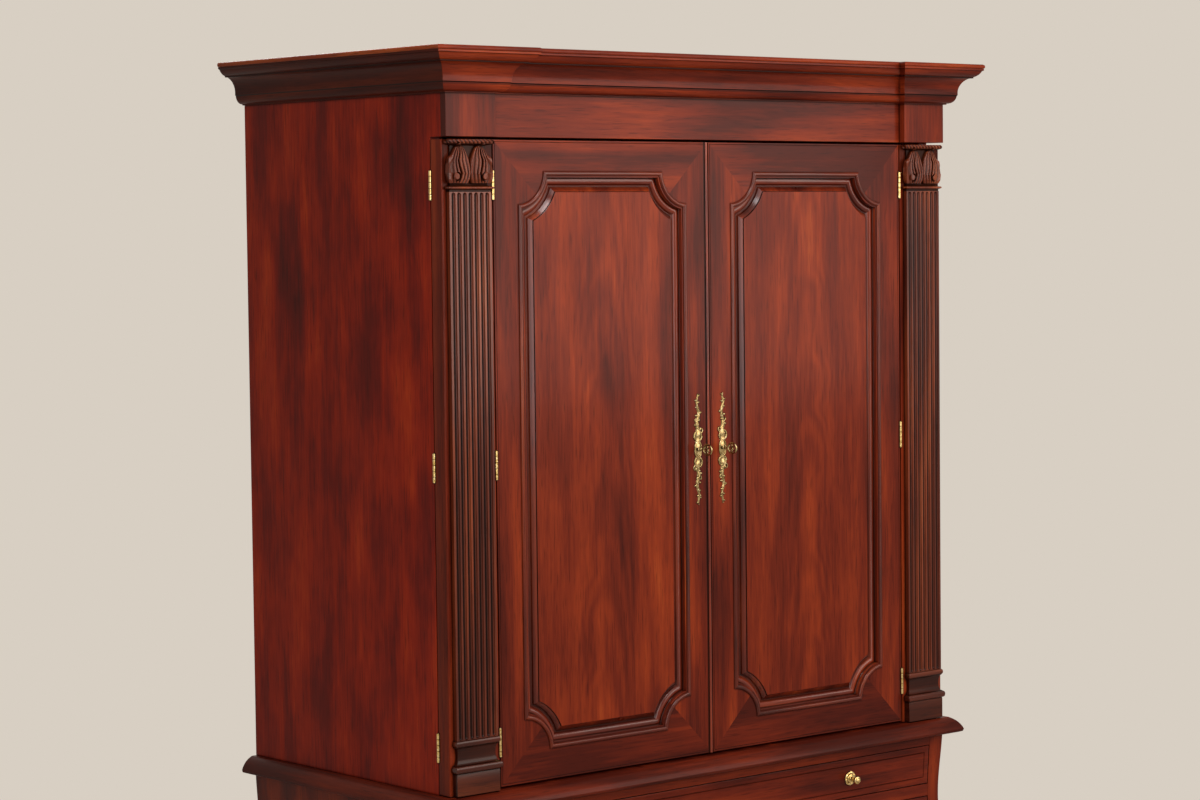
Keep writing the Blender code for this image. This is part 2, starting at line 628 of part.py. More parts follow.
def make_lock(side_name, side, body, brass, steel):
    """Escutcheon in front, lock case behind, and the key through both."""
    front = FRONT - SEAT
    centre = Vector((side * KEY_X, front, KEY_Z))
    rows = escutcheon_outline()
    outline = [(side * right, up) for up, _, right in rows]
    outline += [(side * left, up) for up, left, _ in reversed(rows)]
    outline += [(side * left, -up) for up, left, _ in rows[1:]]
    outline += [(side * right, -up) for up, _, right in reversed(rows[1:])]
    plate = piece(f"escutcheon_{side_name}",
                  stack([[(centre.x + x, y, centre.z + z) for x, z in outline]
                         for y in (front, front - ESCUTCHEON_THICK)]), brass, on=body)
    combine(plate, key_hole(f"escutcheon_{side_name}", side, body), "DIFFERENCE")
    behind = FRONT + DOOR_THICK + SEAT
    lock = piece(f"lock_case_{side_name}",
                 block((centre.x - LOCK_WIDTH / 2, centre.x + LOCK_WIDTH / 2),
                       (behind, behind + LOCK_THICK),
                       (centre.z - LOCK_HEIGHT / 2, centre.z + LOCK_HEIGHT / 2)),
                 steel, on=body)
    combine(lock, key_hole(f"lock_{side_name}", side, body), "DIFFERENCE")
    key_axis = f"key_{side_name}_axis"
    pivot(key_axis, centre, parent=body)
    tip = behind + LOCK_THICK * 0.6
    head = front - ESCUTCHEON_THICK - KEY_REACH
    shank = bmesh.new()
    add_rod(shank, (centre.x, (tip + head) / 2, centre.z), (0, 1, 0), KEY_SHANK_RADIUS,
            tip - head, 10)
    key = piece(f"key_{side_name}", shank, brass, on=key_axis, smooth=40)
    for loop_name, way in (("upper", 1), ("lower", -1)):
        place = Vector((centre.x, head - KEY_LOOP_RADIUS, centre.z + way * KEY_LOOP_RADIUS))
        combine(key, ring(f"key_{side_name}_{loop_name}_loop", place, key_axis), "UNION")


def ring(name, place, on):
    """One round loop of a key's bow, standing in the plane of the key's shank."""
    mesh = bmesh.new()
    rows = []
    for i in range(KEY_SEGMENTS):
        turn = math.tau * (i + 0.5) / KEY_SEGMENTS
        way = Vector((0, math.cos(turn), math.sin(turn)))
        row = []
        for k in range(6):
            angle = math.tau * k / 6
            reach = KEY_LOOP_RADIUS + KEY_WIRE_RADIUS * math.cos(angle)
            side = Vector((KEY_WIRE_RADIUS * math.sin(angle), 0, 0))
            row.append(mesh.verts.new(place + way * reach + side))
        rows.append(row)
    for i in range(KEY_SEGMENTS):
        near = rows[i - 1]
        far = rows[i]
        for k in range(6):
            mesh.faces.new((near[k - 1], near[k], far[k], far[k - 1]))
    return piece(name, mesh, on=on)


def moulded_slab(section, half, front, back, bottom):
    """A board with a moulded edge on its front and sides."""
    return stack([[(-half - out, back, bottom + up), (-half - out, front - out, bottom + up),
                   (half + out, front - out, bottom + up), (half + out, back, bottom + up)]
                  for out, up in section])


def make_chest(wood, inside):
    """The swelling lower carcass: sides, back, waist frame, rails and bottom frame."""
    for side_name, side in SIDES.items():
        loops = []
        for z in levels(CHEST_BOTTOM + SEAT, CHEST_TOP - SEAT, 18):
            outer = side * (CHEST_HALF + swell(z))
            front = CHEST_FRONT - swell(z)
            inner = side * OPENING_HALF
            loops.append([(outer, front, z), (inner, front, z), (inner, BACK, z),
                          (outer, BACK, z)])
        piece(f"lower_side_{side_name}", stack(loops), wood)
    clear = OPENING_HALF - SEAT
    piece("lower_back", block((-clear, clear), (BACK_FACE, BACK - BACK_INSET),
                              (CHEST_BOTTOM + SEAT, CHEST_TOP - SEAT)), inside)
    edge = bow((0.29, 1.0), (1.0, 0.30), 0.10, 6)
    under = bow((0.95, 0.17), (0.13, 0.057), 0.05, 4)
    section = scaled(edge + under + [(0.10, 0.0)], WAIST_OUT, WAIST_HEIGHT)
    waist = piece("waist_frame",
                  moulded_slab(section, CHEST_HALF, CHEST_FRONT, BACK, CHEST_TOP), wood)
    rail = extruded(-clear, clear, rail_section(
        CHEST_TOP - TOP_RAIL_HEIGHT, CHEST_TOP + WELD, TOP_RAIL_DEPTH))
    combine(waist, piece("top_rail_tool", rail), "UNION")
    level = CHEST_TOP - TOP_RAIL_HEIGHT
    for name, above in (("upper", "top"), ("lower", "middle")):
        level -= DRAWER_HEIGHTS[above]
        section = rail_section(level - RAIL_HEIGHT, level, RAIL_DEPTH)
        section[-1:] = [(section[-1][0], level - DUST_BOARD_THICK),
                        (BACK_FACE - SEAT, level - DUST_BOARD_THICK),
                        (BACK_FACE - SEAT, level)]
        piece(f"drawer_rail_{name}", extruded(-clear, clear, section), wood)
        level -= RAIL_HEIGHT
    edge = bow((0.19, 1.0), (1.0, 0.57), -0.12, 5)
    section = scaled(edge + [(1.0, 0.09), (0.81, 0.0)], FRAME_OUT, FRAME_HEIGHT)
    piece("base_frame",
          moulded_slab(section, CHEST_HALF + BELLY_FOOT_OUT, CHEST_FRONT - BELLY_FOOT_OUT,
                       BACK, FOOT_HEIGHT), wood)


def rail_section(low, high, depth):
    """Section of a rail that follows the swelling front, as (y, z) points."""
    front = [(CHEST_FRONT - swell(min(z, CHEST_TOP)), z) for z in levels(low, high, 3)]
    rear = max(y for y, _ in front) + depth
    return list(reversed(front)) + [(rear, low), (rear, high)]


def extruded(left, right, section):
    """A piece of one section all the way across."""
    return stack([[(x, y, z) for y, z in section] for x in (left, right)])


def foot_curves(up):
    """How far a foot's face stands out, and how long its wings are, at a height in shares."""
    out = -FOOT_OGEE * math.sin(math.tau * up)
    wing = 0.50 + 0.50 * max(0.0, (up - 0.35) / 0.65) ** 1.6 - 0.05 * math.sin(math.pi * up)
    return out, wing * FOOT_LENGTH


def make_feet(wood):
    """Four bracket feet with curved faces."""
    top = FOOT_HEIGHT - SEAT
    reach = BELLY_FOOT_OUT + FRAME_OUT - FOOT_IN
    for end_name, end in (("front", -1), ("rear", 1)):
        for side_name, side in SIDES.items():
            loops = []
            for z in levels(0.0, top, 12):
                out, wing = foot_curves(z / top)
                x = side * (CHEST_HALF + reach + out)
                y = BACK if end > 0 else CHEST_FRONT - reach - out
                loops.append([
                    (x, y, z), (x - side * wing, y, z), (x - side * wing, y - end * FOOT_THICK, z),
                    (x - side * FOOT_THICK, y - end * FOOT_THICK, z),
                    (x - side * FOOT_THICK, y - end * wing, z), (x, y - end * wing, z)])
            piece(f"foot_{end_name}_{side_name}", stack(loops), wood)


def make_drawer(name, low, high, wood, inside, brass):
    """A drawer: a shaped front, a plain box behind it and two knobs."""
    axis = f"drawer_{name}_axis"
    pivot(axis, (0, FRONT, (low + high) / 2))
    face_low = low + DRAWER_GAP
    face_high = high - DRAWER_GAP
    steps = max(3, round((high - low) / 0.025))
    face = [(CHEST_FRONT - swell(z), z) for z in levels(face_low, face_high, steps)]
    rear = max(y for y, _ in face) + DRAWER_FRONT_THICK
    half = OPENING_HALF - DRAWER_GAP
    piece(f"drawer_front_{name}",
          extruded(-half, half, face + [(rear, face_high), (rear, face_low)]), wood, on=axis)
    wall = OPENING_HALF - RUNNING_GAP
    box_back = BACK_FACE - DRAWER_BACK_GAP
    box = piece(f"drawer_box_{name}",
                block((-wall, wall), (rear + SEAT, box_back),
                      (low + SEAT, high - DRAWER_WALL_DROP)), inside, on=axis)
    hollow = block((DRAWER_WALL - wall, wall - DRAWER_WALL),
                   (rear - DRAWER_WALL, box_back - DRAWER_WALL), (low + DRAWER_BOTTOM, high))
    combine(box, piece(f"drawer_{name}_hollow", hollow, on=axis), "DIFFERENCE")
    middle = (low + high) / 2
    for side_name, side in SIDES.items():
        piece(f"knob_{name}_{side_name}", turned_knob(side * (half - KNOB_IN), middle),
              brass, on=axis, smooth=40)


def turned_knob(x, z):
    """A round knob on a rosette, square to the swelling drawer front."""
    step = 0.001
    slope = (swell(z + step) - swell(z - step)) / (2 * step)
    out_way = Vector((0, -1, -slope)).normalized()
    up_way = Vector((0, -slope, 1)).normalized()
    seat = Vector((x, CHEST_FRONT - swell(z), z))
    rosette = scaled([(1.0, 0.12), (0.66, 0.19)], KNOB_BASE_RADIUS, KNOB_OUT)
    handle = scaled([(0.45, 0.27), (0.45, 0.46), (0.80, 0.64), (1.0, 0.77), (0.82, 0.93),
                     (0.30, 1.0)], KNOB_RADIUS, KNOB_OUT)
    section = [(KNOB_BASE_RADIUS, KNOB_STANDOFF)] + rosette + handle
    loops = []
    for radius, out in section:
        centre = seat + out_way * out
        turns = [math.tau * i / KNOB_SEGMENTS for i in range(KNOB_SEGMENTS)]
        loops.append([centre + radius * (Vector((math.cos(turn), 0, 0)) + up_way * math.sin(turn))
                      for turn in turns])
    return stack(loops)


def main():
    """Clear the scene and build the armoire."""
    for old in list(bpy.data.objects):
        bpy.data.objects.remove(old)
    wood = material("polished_mahogany", (0.165, 0.030, 0.016), 0.28)
    inside = material("plain_mahogany", (0.290, 0.105, 0.048), 0.55)
    brass = material("polished_brass", (0.780, 0.560, 0.260), 0.25, metallic=1.0)
    steel = material("lock_steel", (0.420, 0.400, 0.370), 0.40, metallic=1.0)
    make_upper_case(wood, inside)
    make_interior(inside, brass)
    for side_name, side in SIDES.items():
        make_pilaster(side_name, side, wood, brass)
        make_door(side_name, side, wood, brass, steel)
    make_chest(wood, inside)
    make_feet(wood)
    high = CHEST_TOP - TOP_RAIL_HEIGHT
    for name, height in DRAWER_HEIGHTS.items():
        make_drawer(name, high - height, high, wood, inside, brass)
        high -= height + RAIL_HEIGHT


main()
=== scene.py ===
# %% [markdown]
# # A bombe armoire in polished mahogany
# The construction model fixes every size and every moving body, and this script dresses it.
# Each wooden piece is rebuilt with the mouldings, carving and soft edges that a cabinet maker
# would leave on it, and carries the direction of its grain with it, so that one wood material
# can run along a door's stile, across its rail and round a cornice.

# %% Load the frame
import math

import bmesh
import bpy
from mathutils import Matrix, Vector


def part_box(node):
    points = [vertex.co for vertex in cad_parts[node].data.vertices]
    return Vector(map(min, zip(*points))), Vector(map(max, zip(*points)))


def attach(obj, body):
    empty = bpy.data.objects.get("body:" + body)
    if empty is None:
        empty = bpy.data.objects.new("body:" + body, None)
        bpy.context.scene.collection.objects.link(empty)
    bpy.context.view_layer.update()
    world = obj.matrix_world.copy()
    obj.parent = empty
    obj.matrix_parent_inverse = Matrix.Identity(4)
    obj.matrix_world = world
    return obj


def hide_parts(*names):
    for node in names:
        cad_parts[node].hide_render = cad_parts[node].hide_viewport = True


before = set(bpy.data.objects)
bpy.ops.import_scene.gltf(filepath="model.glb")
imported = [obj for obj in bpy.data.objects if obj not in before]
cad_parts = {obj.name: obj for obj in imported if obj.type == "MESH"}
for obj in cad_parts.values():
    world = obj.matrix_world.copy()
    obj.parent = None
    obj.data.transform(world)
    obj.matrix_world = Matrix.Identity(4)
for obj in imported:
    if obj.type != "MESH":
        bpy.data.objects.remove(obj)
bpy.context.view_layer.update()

# %% [markdown]
# ## Sizes
# Lengths are in metres. The armoire's front faces -Y and the floor is at Z = 0. The places of
# the doors, pilasters and drawers are read from the frame, so that what is built here follows
# it, and only the small shapes that the frame leaves plain get sizes of their own.

# %% Sizes read from the frame
MM = 0.001
GAP = 0.3 * MM                # between pieces that rest on each other
HAIR = 0.02 * MM              # keeps faces that would share a plane just apart
ALONG_X, ALONG_Y, ALONG_Z = Vector((1, 0, 0)), Vector((0, 1, 0)), Vector((0, 0, 1))
SIDES = {"left": -1, "right": 1}

stile_low, stile_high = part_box("pilaster_stile_right")
door_low, door_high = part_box("door_frame_right")
side_low, side_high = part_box("upper_side_right")
top_low, top_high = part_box("top_board")
frieze_low, frieze_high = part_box("frieze")
cornice_low, cornice_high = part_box("cornice")
waist_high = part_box("waist_frame")[1]
chest_low, chest_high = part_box("lower_side_right")

HALF_WIDTH = side_high.x
BACK = side_high.y
DOOR_THICK = 26 * MM
FRONT = door_high.y - DOOR_THICK                            # front face of the doors
CASE_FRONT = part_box("upper_floor")[0].y
CASE_INSIDE = side_low.x
PILASTER_INNER = stile_low.x
BLOCK_PROUD = FRONT - frieze_low.y
CORNICE_BOTTOM = cornice_low.z
CASE_TOP = top_low.z
DOOR_BOTTOM, DOOR_TOP = door_low.z, door_high.z
DOOR_INNER, DOOR_OUTER = door_low.x, door_high.x
DOOR_BACK = door_high.y
print("front face at y =", round(FRONT, 4), "doors", round(DOOR_TOP - DOOR_BOTTOM, 4), "high")

# %% [markdown]
# ## The camera
# The photograph was taken from the armoire's left front corner with a longish lens, a little
# above the doors' middle and looking slightly down, so that only the upper two thirds are in
# the picture. The camera is placed by its direction, pitch and a small roll, and the image is
# taken to be 1200 by 800.

# %% Camera
CAMERA_PLACE = (-3.850, -4.443, 1.826)
CAMERA_AZIMUTH = math.radians(40.58)
CAMERA_PITCH = math.radians(3.31)
CAMERA_ROLL = math.radians(0.65)
IMAGE_WIDTH = 1200
FOCAL_PIXELS = 3019.4         # the lens's focal length, in pixels of that image
SENSOR_WIDTH = 36.0           # in millimetres
FAR_LIMIT = 60.0              # nothing farther away is drawn


def aim_camera():
    """Build the camera from its direction, pitch and roll."""
    data = bpy.data.cameras.new("camera")
    data.sensor_width = SENSOR_WIDTH
    data.lens = FOCAL_PIXELS / IMAGE_WIDTH * SENSOR_WIDTH
    data.clip_end = FAR_LIMIT
    camera = bpy.data.objects.new("camera", data)
    bpy.context.scene.collection.objects.link(camera)
    right = Vector((math.cos(CAMERA_AZIMUTH), -math.sin(CAMERA_AZIMUTH), 0.0))
    forward = Vector((
        math.sin(CAMERA_AZIMUTH) * math.cos(CAMERA_PITCH),
        math.cos(CAMERA_AZIMUTH) * math.cos(CAMERA_PITCH),
        -math.sin(CAMERA_PITCH),
    ))
    up = right.cross(forward)
    rolled_right = right * math.cos(CAMERA_ROLL) - up * math.sin(CAMERA_ROLL)
    rolled_up = right * math.sin(CAMERA_ROLL) + up * math.cos(CAMERA_ROLL)
    turn = Matrix((rolled_right, rolled_up, -forward)).transposed().to_4x4()
    camera.matrix_world = Matrix.Translation(CAMERA_PLACE) @ turn
    bpy.context.scene.camera = camera
    return camera


camera = aim_camera()
print("camera lens", round(camera.data.lens, 2), "mm")

# %% [markdown]
# ## Colour and nodes
# Finishes are written as the sRGB hex values that a colour picker would show, and one function
# turns them into the linear values that Blender's shaders work in. Another adds one node with
# its settings and its links. An input may be a number, an output of another node, or that node
# itself, which then gives its first output. A node that blends colours along a factor also
# takes its stops, as pairs of place and hex code.

# %% Colour and node helpers


def linear(code):
    """An sRGB hex code as linear red, green, blue and alpha."""
    channels = [int(code[i:i + 2], 16) / 255 for i in (1, 3, 5)]
    return (*[c / 12.92 if c <= 0.04045 else ((c + 0.055) / 1.055) ** 2.4 for c in channels], 1.0)


def add(tree, kind, inputs=None, stops=(), **settings):
    """Add a node, set its properties and colour stops, and link or set its inputs."""
    node = tree.nodes.new(kind)
    if stops:
        elements = node.color_ramp.elements
        while len(elements) < len(stops):
            elements.new(0.5)
        for element, (place, code) in zip(elements, stops):
            element.position, element.color = place, linear(code)
    for key, value in settings.items():
        setattr(node, key, value)
    for key, value in (inputs or {}).items():
        if isinstance(value, bpy.types.Node):
            value = next(socket for socket in value.outputs if socket.enabled)
        if isinstance(value, bpy.types.NodeSocket):
            tree.links.new(value, node.inputs[key])
        else:
            node.inputs[key].default_value = value
    return node


def new_material(name):
    """A material and its empty node tree."""
    material = bpy.data.materials.new(name)
    material.use_nodes = True
    material.node_tree.nodes.clear()
    return material, material.node_tree


print("linear of #7B2C16:", [round(v, 3) for v in linear("#7B2C16")])

# %% [markdown]
# ## Polished mahogany
# The case is solid and veneered mahogany, stained dark red, glazed and finished with a rubbed
# clear lacquer. Mahogany looks like itself through long soft streaks along the grain, broad
# nested bands where the board was cut across the growth rings, cloudy patches, short dark
# pores, and a warm red that is never even. A picture of wood would stretch over the mouldings,
# so the wood is drawn in real space instead. A vector called grain, stored on each face, says
# which way the board runs, and the coordinates are squeezed along it. A number called board
# tells the boards apart: its whole part shifts the pattern, and its fraction says how much
# stain the board took, from dark to light. The hollows get painted shade mixed with the dark
# glaze: the shader darkens the colour by itself where ambient occlusion finds a surface shut
# in, and a third number on each face paints more of this shade and glaze where it is set.
# Glaze is matt, so the coat is dulled where the painted shade lies. The lacquer is the shader's
# coat, over wood that is rougher, and mouldings and carvings are rubbed to a higher gloss than
# the broad boards.

# %% Mahogany material
PATCHES_PER_METRE = 13.0      # cloudy patches about 40 mm wide
CLOUDS_PER_METRE = 9.0        # soft clouds about 110 mm wide and twice as long
STREAKS_PER_METRE = 45.0      # soft streaks about 10 to 20 mm apart
LINES_PER_METRE = 170.0       # fine lines about 6 mm apart, coarser than the real 1 mm to show
PORES_PER_METRE = 420.0       # real pores are 0.2 mm wide; drawn about 2 mm wide to show
RINGS_PER_METRE = 3.4         # the growth rings wander over about 300 mm
RIPPLES_PER_METRE = 11.0      # unevenness of the rubbed lacquer, about 90 mm wide
BANDS_PER_RING = 58.0         # how fast light and dark bands follow each other, in radians
SQUEEZES = (0.055, 0.16, 0.5)  # along the grain, for streaks, for bands and for clouds
BOARD_SHIFT = (3.1, 5.7, 2.3)  # from one board's part of the pattern to the next one's
PATCH_SHARE, BAND_SHARE, LINE_SHARE = 0.30, 0.045, 0.16     # of these patterns in the tone
STAIN_RANGE = 0.20            # how far the darkest and the lightest board lie apart
ARCH_SPACING = 0.17           # between the tips of two nested arches
ARCH_STEEPNESS = 95.0         # how fast an arch falls away from its tip, per metre
ARCH_WANDER = 0.05            # how far the arches stray sideways
ARCH_WAVER = 9.0              # how far they stray up and down, in radians of a band
PANEL_MIDDLE = (DOOR_INNER + DOOR_OUTER) / 2
OPEN_FACE = 0.97              # ambient occlusion of a surface that nothing shuts in
# The second colour is the dark glaze and painted shade laid into hollows.
PORE_BROWN, GLAZE_AND_SHADE_BLACK = "#1C0704", "#120603"


def wood_space(tree):
    """Coordinates squeezed along the grain, for streaks, for broad bands and for clouds."""
    place = add(tree, "ShaderNodeTexCoord").outputs["Object"]
    grain = add(tree, "ShaderNodeAttribute", attribute_name="grain").outputs["Vector"]
    board = add(tree, "ShaderNodeAttribute", attribute_name="board").outputs["Fac"]
    distance = add(tree, "ShaderNodeVectorMath", {0: place, 1: grain}, operation="DOT_PRODUCT")
    down = add(tree, "ShaderNodeVectorMath", {0: grain, "Scale": distance}, operation="SCALE")
    across = add(tree, "ShaderNodeVectorMath", {0: place, 1: down}, operation="SUBTRACT")
    shift = add(tree, "ShaderNodeVectorMath", {0: BOARD_SHIFT, "Scale": board},
                operation="SCALE")
    spaces = []
    for squeeze in SQUEEZES:
        slow = add(tree, "ShaderNodeVectorMath", {0: down, "Scale": squeeze}, operation="SCALE")
        moved = add(tree, "ShaderNodeVectorMath", {0: across, 1: slow}, operation="ADD")
        spaces.append(add(tree, "ShaderNodeVectorMath", {0: moved, 1: shift}, operation="ADD"))
    return spaces


def arch_bands(tree):
    """Nested pointed arches up the middle of each door, as a flat-sawn board shows them."""
    place = add(tree, "ShaderNodeTexCoord").outputs["Object"]
    axes = add(tree, "ShaderNodeSeparateXYZ", {"Vector": place}).outputs
    wander = add(tree, "ShaderNodeTexNoise", {"Vector": place, "Scale": 7.0, "Detail": 2.0})
    off = add(tree, "ShaderNodeMath", {0: axes["X"]}, operation="ABSOLUTE")
    off = add(tree, "ShaderNodeMath", {0: wander, 1: ARCH_WANDER, 2: off},
              operation="MULTIPLY_ADD")
    off = add(tree, "ShaderNodeMath", {0: off, 1: PANEL_MIDDLE + ARCH_WANDER / 2},
              operation="SUBTRACT")
    square = add(tree, "ShaderNodeMath", {0: off, 1: off}, operation="MULTIPLY")
    rise = add(tree, "ShaderNodeMath", {0: square, 1: ARCH_STEEPNESS, 2: axes["Z"]},
               operation="MULTIPLY_ADD")
    phase = add(tree, "ShaderNodeMath", {0: rise, 1: math.tau / ARCH_SPACING},
                operation="MULTIPLY")
    phase = add(tree, "ShaderNodeMath", {0: wander, 1: ARCH_WAVER, 2: phase},
                operation="MULTIPLY_ADD")
    wave = add(tree, "ShaderNodeMath", {0: phase}, operation="SINE")
    fade = add(tree, "ShaderNodeMapRange",
               {"Value": square, "From Max": 0.006, "To Min": 1.0, "To Max": 0.1})
    return add(tree, "ShaderNodeMath", {0: wave, 1: fade}, operation="MULTIPLY")


def mahogany(name, stops, figure=1.0, arches=0.0, streaking=0.27, clouds=0.0, coat=0.10,
             rough=0.36, glaze_and_shade=4.5 * MM, full_shade_occlusion=0.42):
    """Wood with streaks, bands, pores and painted shade in glazed hollows, under a clear coat."""
    material, tree = new_material(name)
    streaky, broad, cloudy = wood_space(tree)
    patches = add(tree, "ShaderNodeTexNoise",
                  {"Vector": broad, "Scale": PATCHES_PER_METRE, "Detail": 2.0})
    rings = add(tree, "ShaderNodeTexNoise",
                {"Vector": broad, "Scale": RINGS_PER_METRE, "Detail": 1.0, "Distortion": 0.25})
    bands = add(tree, "ShaderNodeMath", {0: rings, 1: BANDS_PER_RING}, operation="MULTIPLY")
    bands = add(tree, "ShaderNodeMath", {0: bands}, operation="SINE")
    streaks = add(tree, "ShaderNodeTexNoise",
                  {"Vector": streaky, "Scale": STREAKS_PER_METRE, "Detail": 4.0,
                   "Roughness": 0.6, "Distortion": 0.2})
    lines = add(tree, "ShaderNodeTexNoise",
                {"Vector": streaky, "Scale": LINES_PER_METRE, "Detail": 3.0, "Roughness": 0.6})
    shares = [(patches, PATCH_SHARE), (bands, BAND_SHARE * figure), (streaks, streaking),
              (lines, LINE_SHARE)]
    if clouds:
        blotches = add(tree, "ShaderNodeTexNoise", {"Vector": cloudy, "Scale": CLOUDS_PER_METRE,
                                                    "Detail": 3.0, "Roughness": 0.62})
        shares.append((blotches, clouds))
    if arches:
        shares.append((arch_bands(tree), arches))
    # The noises and the stain average one half, so this offset keeps the mean tone at one half.
    offset = (1 - PATCH_SHARE - LINE_SHARE - STAIN_RANGE - streaking - clouds) / 2
    board = add(tree, "ShaderNodeAttribute", attribute_name="board").outputs["Fac"]
    stain = add(tree, "ShaderNodeMath", {0: board}, operation="FRACT")
    tone = add(tree, "ShaderNodeMath", {0: stain, 1: STAIN_RANGE, 2: offset},
               operation="MULTIPLY_ADD")
    for pattern, share in shares:
        tone = add(tree, "ShaderNodeMath", {0: pattern, 1: share, 2: tone},
                   operation="MULTIPLY_ADD")
    pores = add(tree, "ShaderNodeTexNoise",
                {"Vector": streaky, "Scale": PORES_PER_METRE, "Detail": 1.0})
    pores = add(tree, "ShaderNodeMapRange",
                {"Value": pores, "From Min": 0.58, "From Max": 0.72, "To Max": 0.40})
    # Painted shade: ambient occlusion darkens the colour in hollows and creases.
    occlusion = add(tree, "ShaderNodeAmbientOcclusion", {"Distance": glaze_and_shade}, samples=8)
    glaze_and_shade_mask = add(tree, "ShaderNodeMapRange",
               {"Value": occlusion.outputs["AO"], "From Min": full_shade_occlusion, "From Max": OPEN_FACE,
                "To Min": 0.92, "To Max": 0.0})
    # The number on each face adds more painted shade and glaze where it is set.
    left = add(tree, "ShaderNodeAttribute", attribute_name="glaze_and_shade").outputs["Fac"]
    glaze_and_shade_mask = add(tree, "ShaderNodeMath", {0: glaze_and_shade_mask, 1: left}, operation="MAXIMUM")
    colour = add(tree, "ShaderNodeValToRGB", {"Fac": tone}, stops)
    for mask, shade in ((pores, PORE_BROWN), (glaze_and_shade_mask, GLAZE_AND_SHADE_BLACK)):
        colour = add(tree, "ShaderNodeMix", {"Factor": mask, "A": colour, "B": linear(shade)},
                     data_type="RGBA")
    worn = add(tree, "ShaderNodeMapRange",
               {"Value": streaks, "From Min": 0.3, "From Max": 0.7,
                "To Min": rough - 0.05, "To Max": rough + 0.07})
    grainy = add(tree, "ShaderNodeBump",
                 {"Strength": 0.10, "Distance": 0.4 * MM, "Height": lines})
    place = add(tree, "ShaderNodeTexCoord").outputs["Object"]
    ripple = add(tree, "ShaderNodeTexNoise",
                 {"Vector": place, "Scale": RIPPLES_PER_METRE, "Detail": 1.0})
    rubbed = add(tree, "ShaderNodeBump",
                 {"Strength": 0.35, "Distance": 1.0 * MM, "Height": ripple})
    # The coat is dulled where the painted shade and glaze lie.
    dulled = add(tree, "ShaderNodeMapRange",
                 {"Value": glaze_and_shade_mask, "From Max": 0.9, "To Min": coat, "To Max": 0.1 * coat})
    shader = add(tree, "ShaderNodeBsdfPrincipled",
                 {"Base Color": colour, "Roughness": worn, "Normal": grainy, "IOR": 1.5,
                  "Specular IOR Level": 0.05, "Coat Weight": dulled, "Coat Roughness": 0.16,
                  "Coat Normal": rubbed})
    add(tree, "ShaderNodeOutputMaterial", {"Surface": shader})
    return material


RED_MAHOGANY = [(0.38, "#49150B"), (0.48, "#6C2311"), (0.57, "#8B3316"), (0.68, "#AE5022")]
RUBBED_MAHOGANY = [(0.38, "#3F160C"), (0.48, "#5C2413"), (0.57, "#7A351B"), (0.68, "#9C5230")]
SIDE_MAHOGANY = [(0.38, "#4A0F09"), (0.48, "#781A0E"), (0.57, "#A02A12"), (0.70, "#C4441C")]
PLAIN_MAHOGANY = [(0.36, "#5E3420"), (0.52, "#7C4A2E"), (0.64, "#94603E"), (0.80, "#AC7A52")]
polished = mahogany("polished_mahogany", RED_MAHOGANY, streaking=0.24, clouds=0.10)
moulded = mahogany("polished_mahogany.moulded", RED_MAHOGANY, coat=0.65, rough=0.30,
                   glaze_and_shade=5 * MM, full_shade_occlusion=0.36)
carved = mahogany("polished_mahogany.carved", RUBBED_MAHOGANY, coat=0.45, rough=0.32,
                  glaze_and_shade=5 * MM, full_shade_occlusion=0.55)
figured = mahogany("polished_mahogany.figured", RED_MAHOGANY, figure=0.3, arches=0.025,
                   streaking=0.14, clouds=0.18)
clouded = mahogany("polished_mahogany.side", SIDE_MAHOGANY, figure=0.4, streaking=0.14,
                   clouds=0.36, coat=0.05)
plain = mahogany("plain_mahogany", PLAIN_MAHOGANY, figure=0.6, rough=0.55)
print("mahogany nodes:", len(polished.node_tree.nodes))

# %% [markdown]
# ## Brass and steel
# The mounts are cast brass, polished and lacquered. Brass that is handled stays bright on its
# high places and goes brown in its hollows, so the hollows are darkened where the surface is
# shut in by its own relief. The keyhole plates and keys have aged darker than the hinges and
# knobs. The lock cases inside are dull pressed steel.

# %% Metals
CASTING_PER_METRE = 260.0     # marks of the casting sand, about 4 mm wide to show
ROLLING = (900.0, 900.0, 40.0)  # rolling marks about 1 mm apart and 25 mm long


def cast_brass(name, stops):
    """Polished cast brass with brown hollows and a faint unevenness from the casting."""
    material, tree = new_material(name)
    place = add(tree, "ShaderNodeTexCoord").outputs["Object"]
    cast = add(tree, "ShaderNodeTexNoise",
               {"Vector": place, "Scale": CASTING_PER_METRE, "Detail": 3.0})
    occlusion = add(tree, "ShaderNodeAmbientOcclusion", {"Distance": 5 * MM}, samples=8)
    brown = add(tree, "ShaderNodeMapRange",
                {"Value": occlusion.outputs["AO"], "From Min": 0.40, "From Max": OPEN_FACE,
                 "To Min": 0.9, "To Max": 0.0})
    bright = add(tree, "ShaderNodeValToRGB", {"Fac": cast}, stops)
    colour = add(tree, "ShaderNodeMix",
                 {"Factor": brown, "A": bright, "B": linear("#3A250E")}, data_type="RGBA")
    rough = add(tree, "ShaderNodeMapRange", {"Value": cast, "From Min": 0.3, "From Max": 0.7,
                                             "To Min": 0.16, "To Max": 0.30})
    bump = add(tree, "ShaderNodeBump", {"Strength": 0.25, "Distance": 0.3 * MM, "Height": cast})
    shader = add(tree, "ShaderNodeBsdfPrincipled",
                 {"Base Color": colour, "Roughness": rough, "Metallic": 1.0, "Normal": bump})
    add(tree, "ShaderNodeOutputMaterial", {"Surface": shader})
    return material


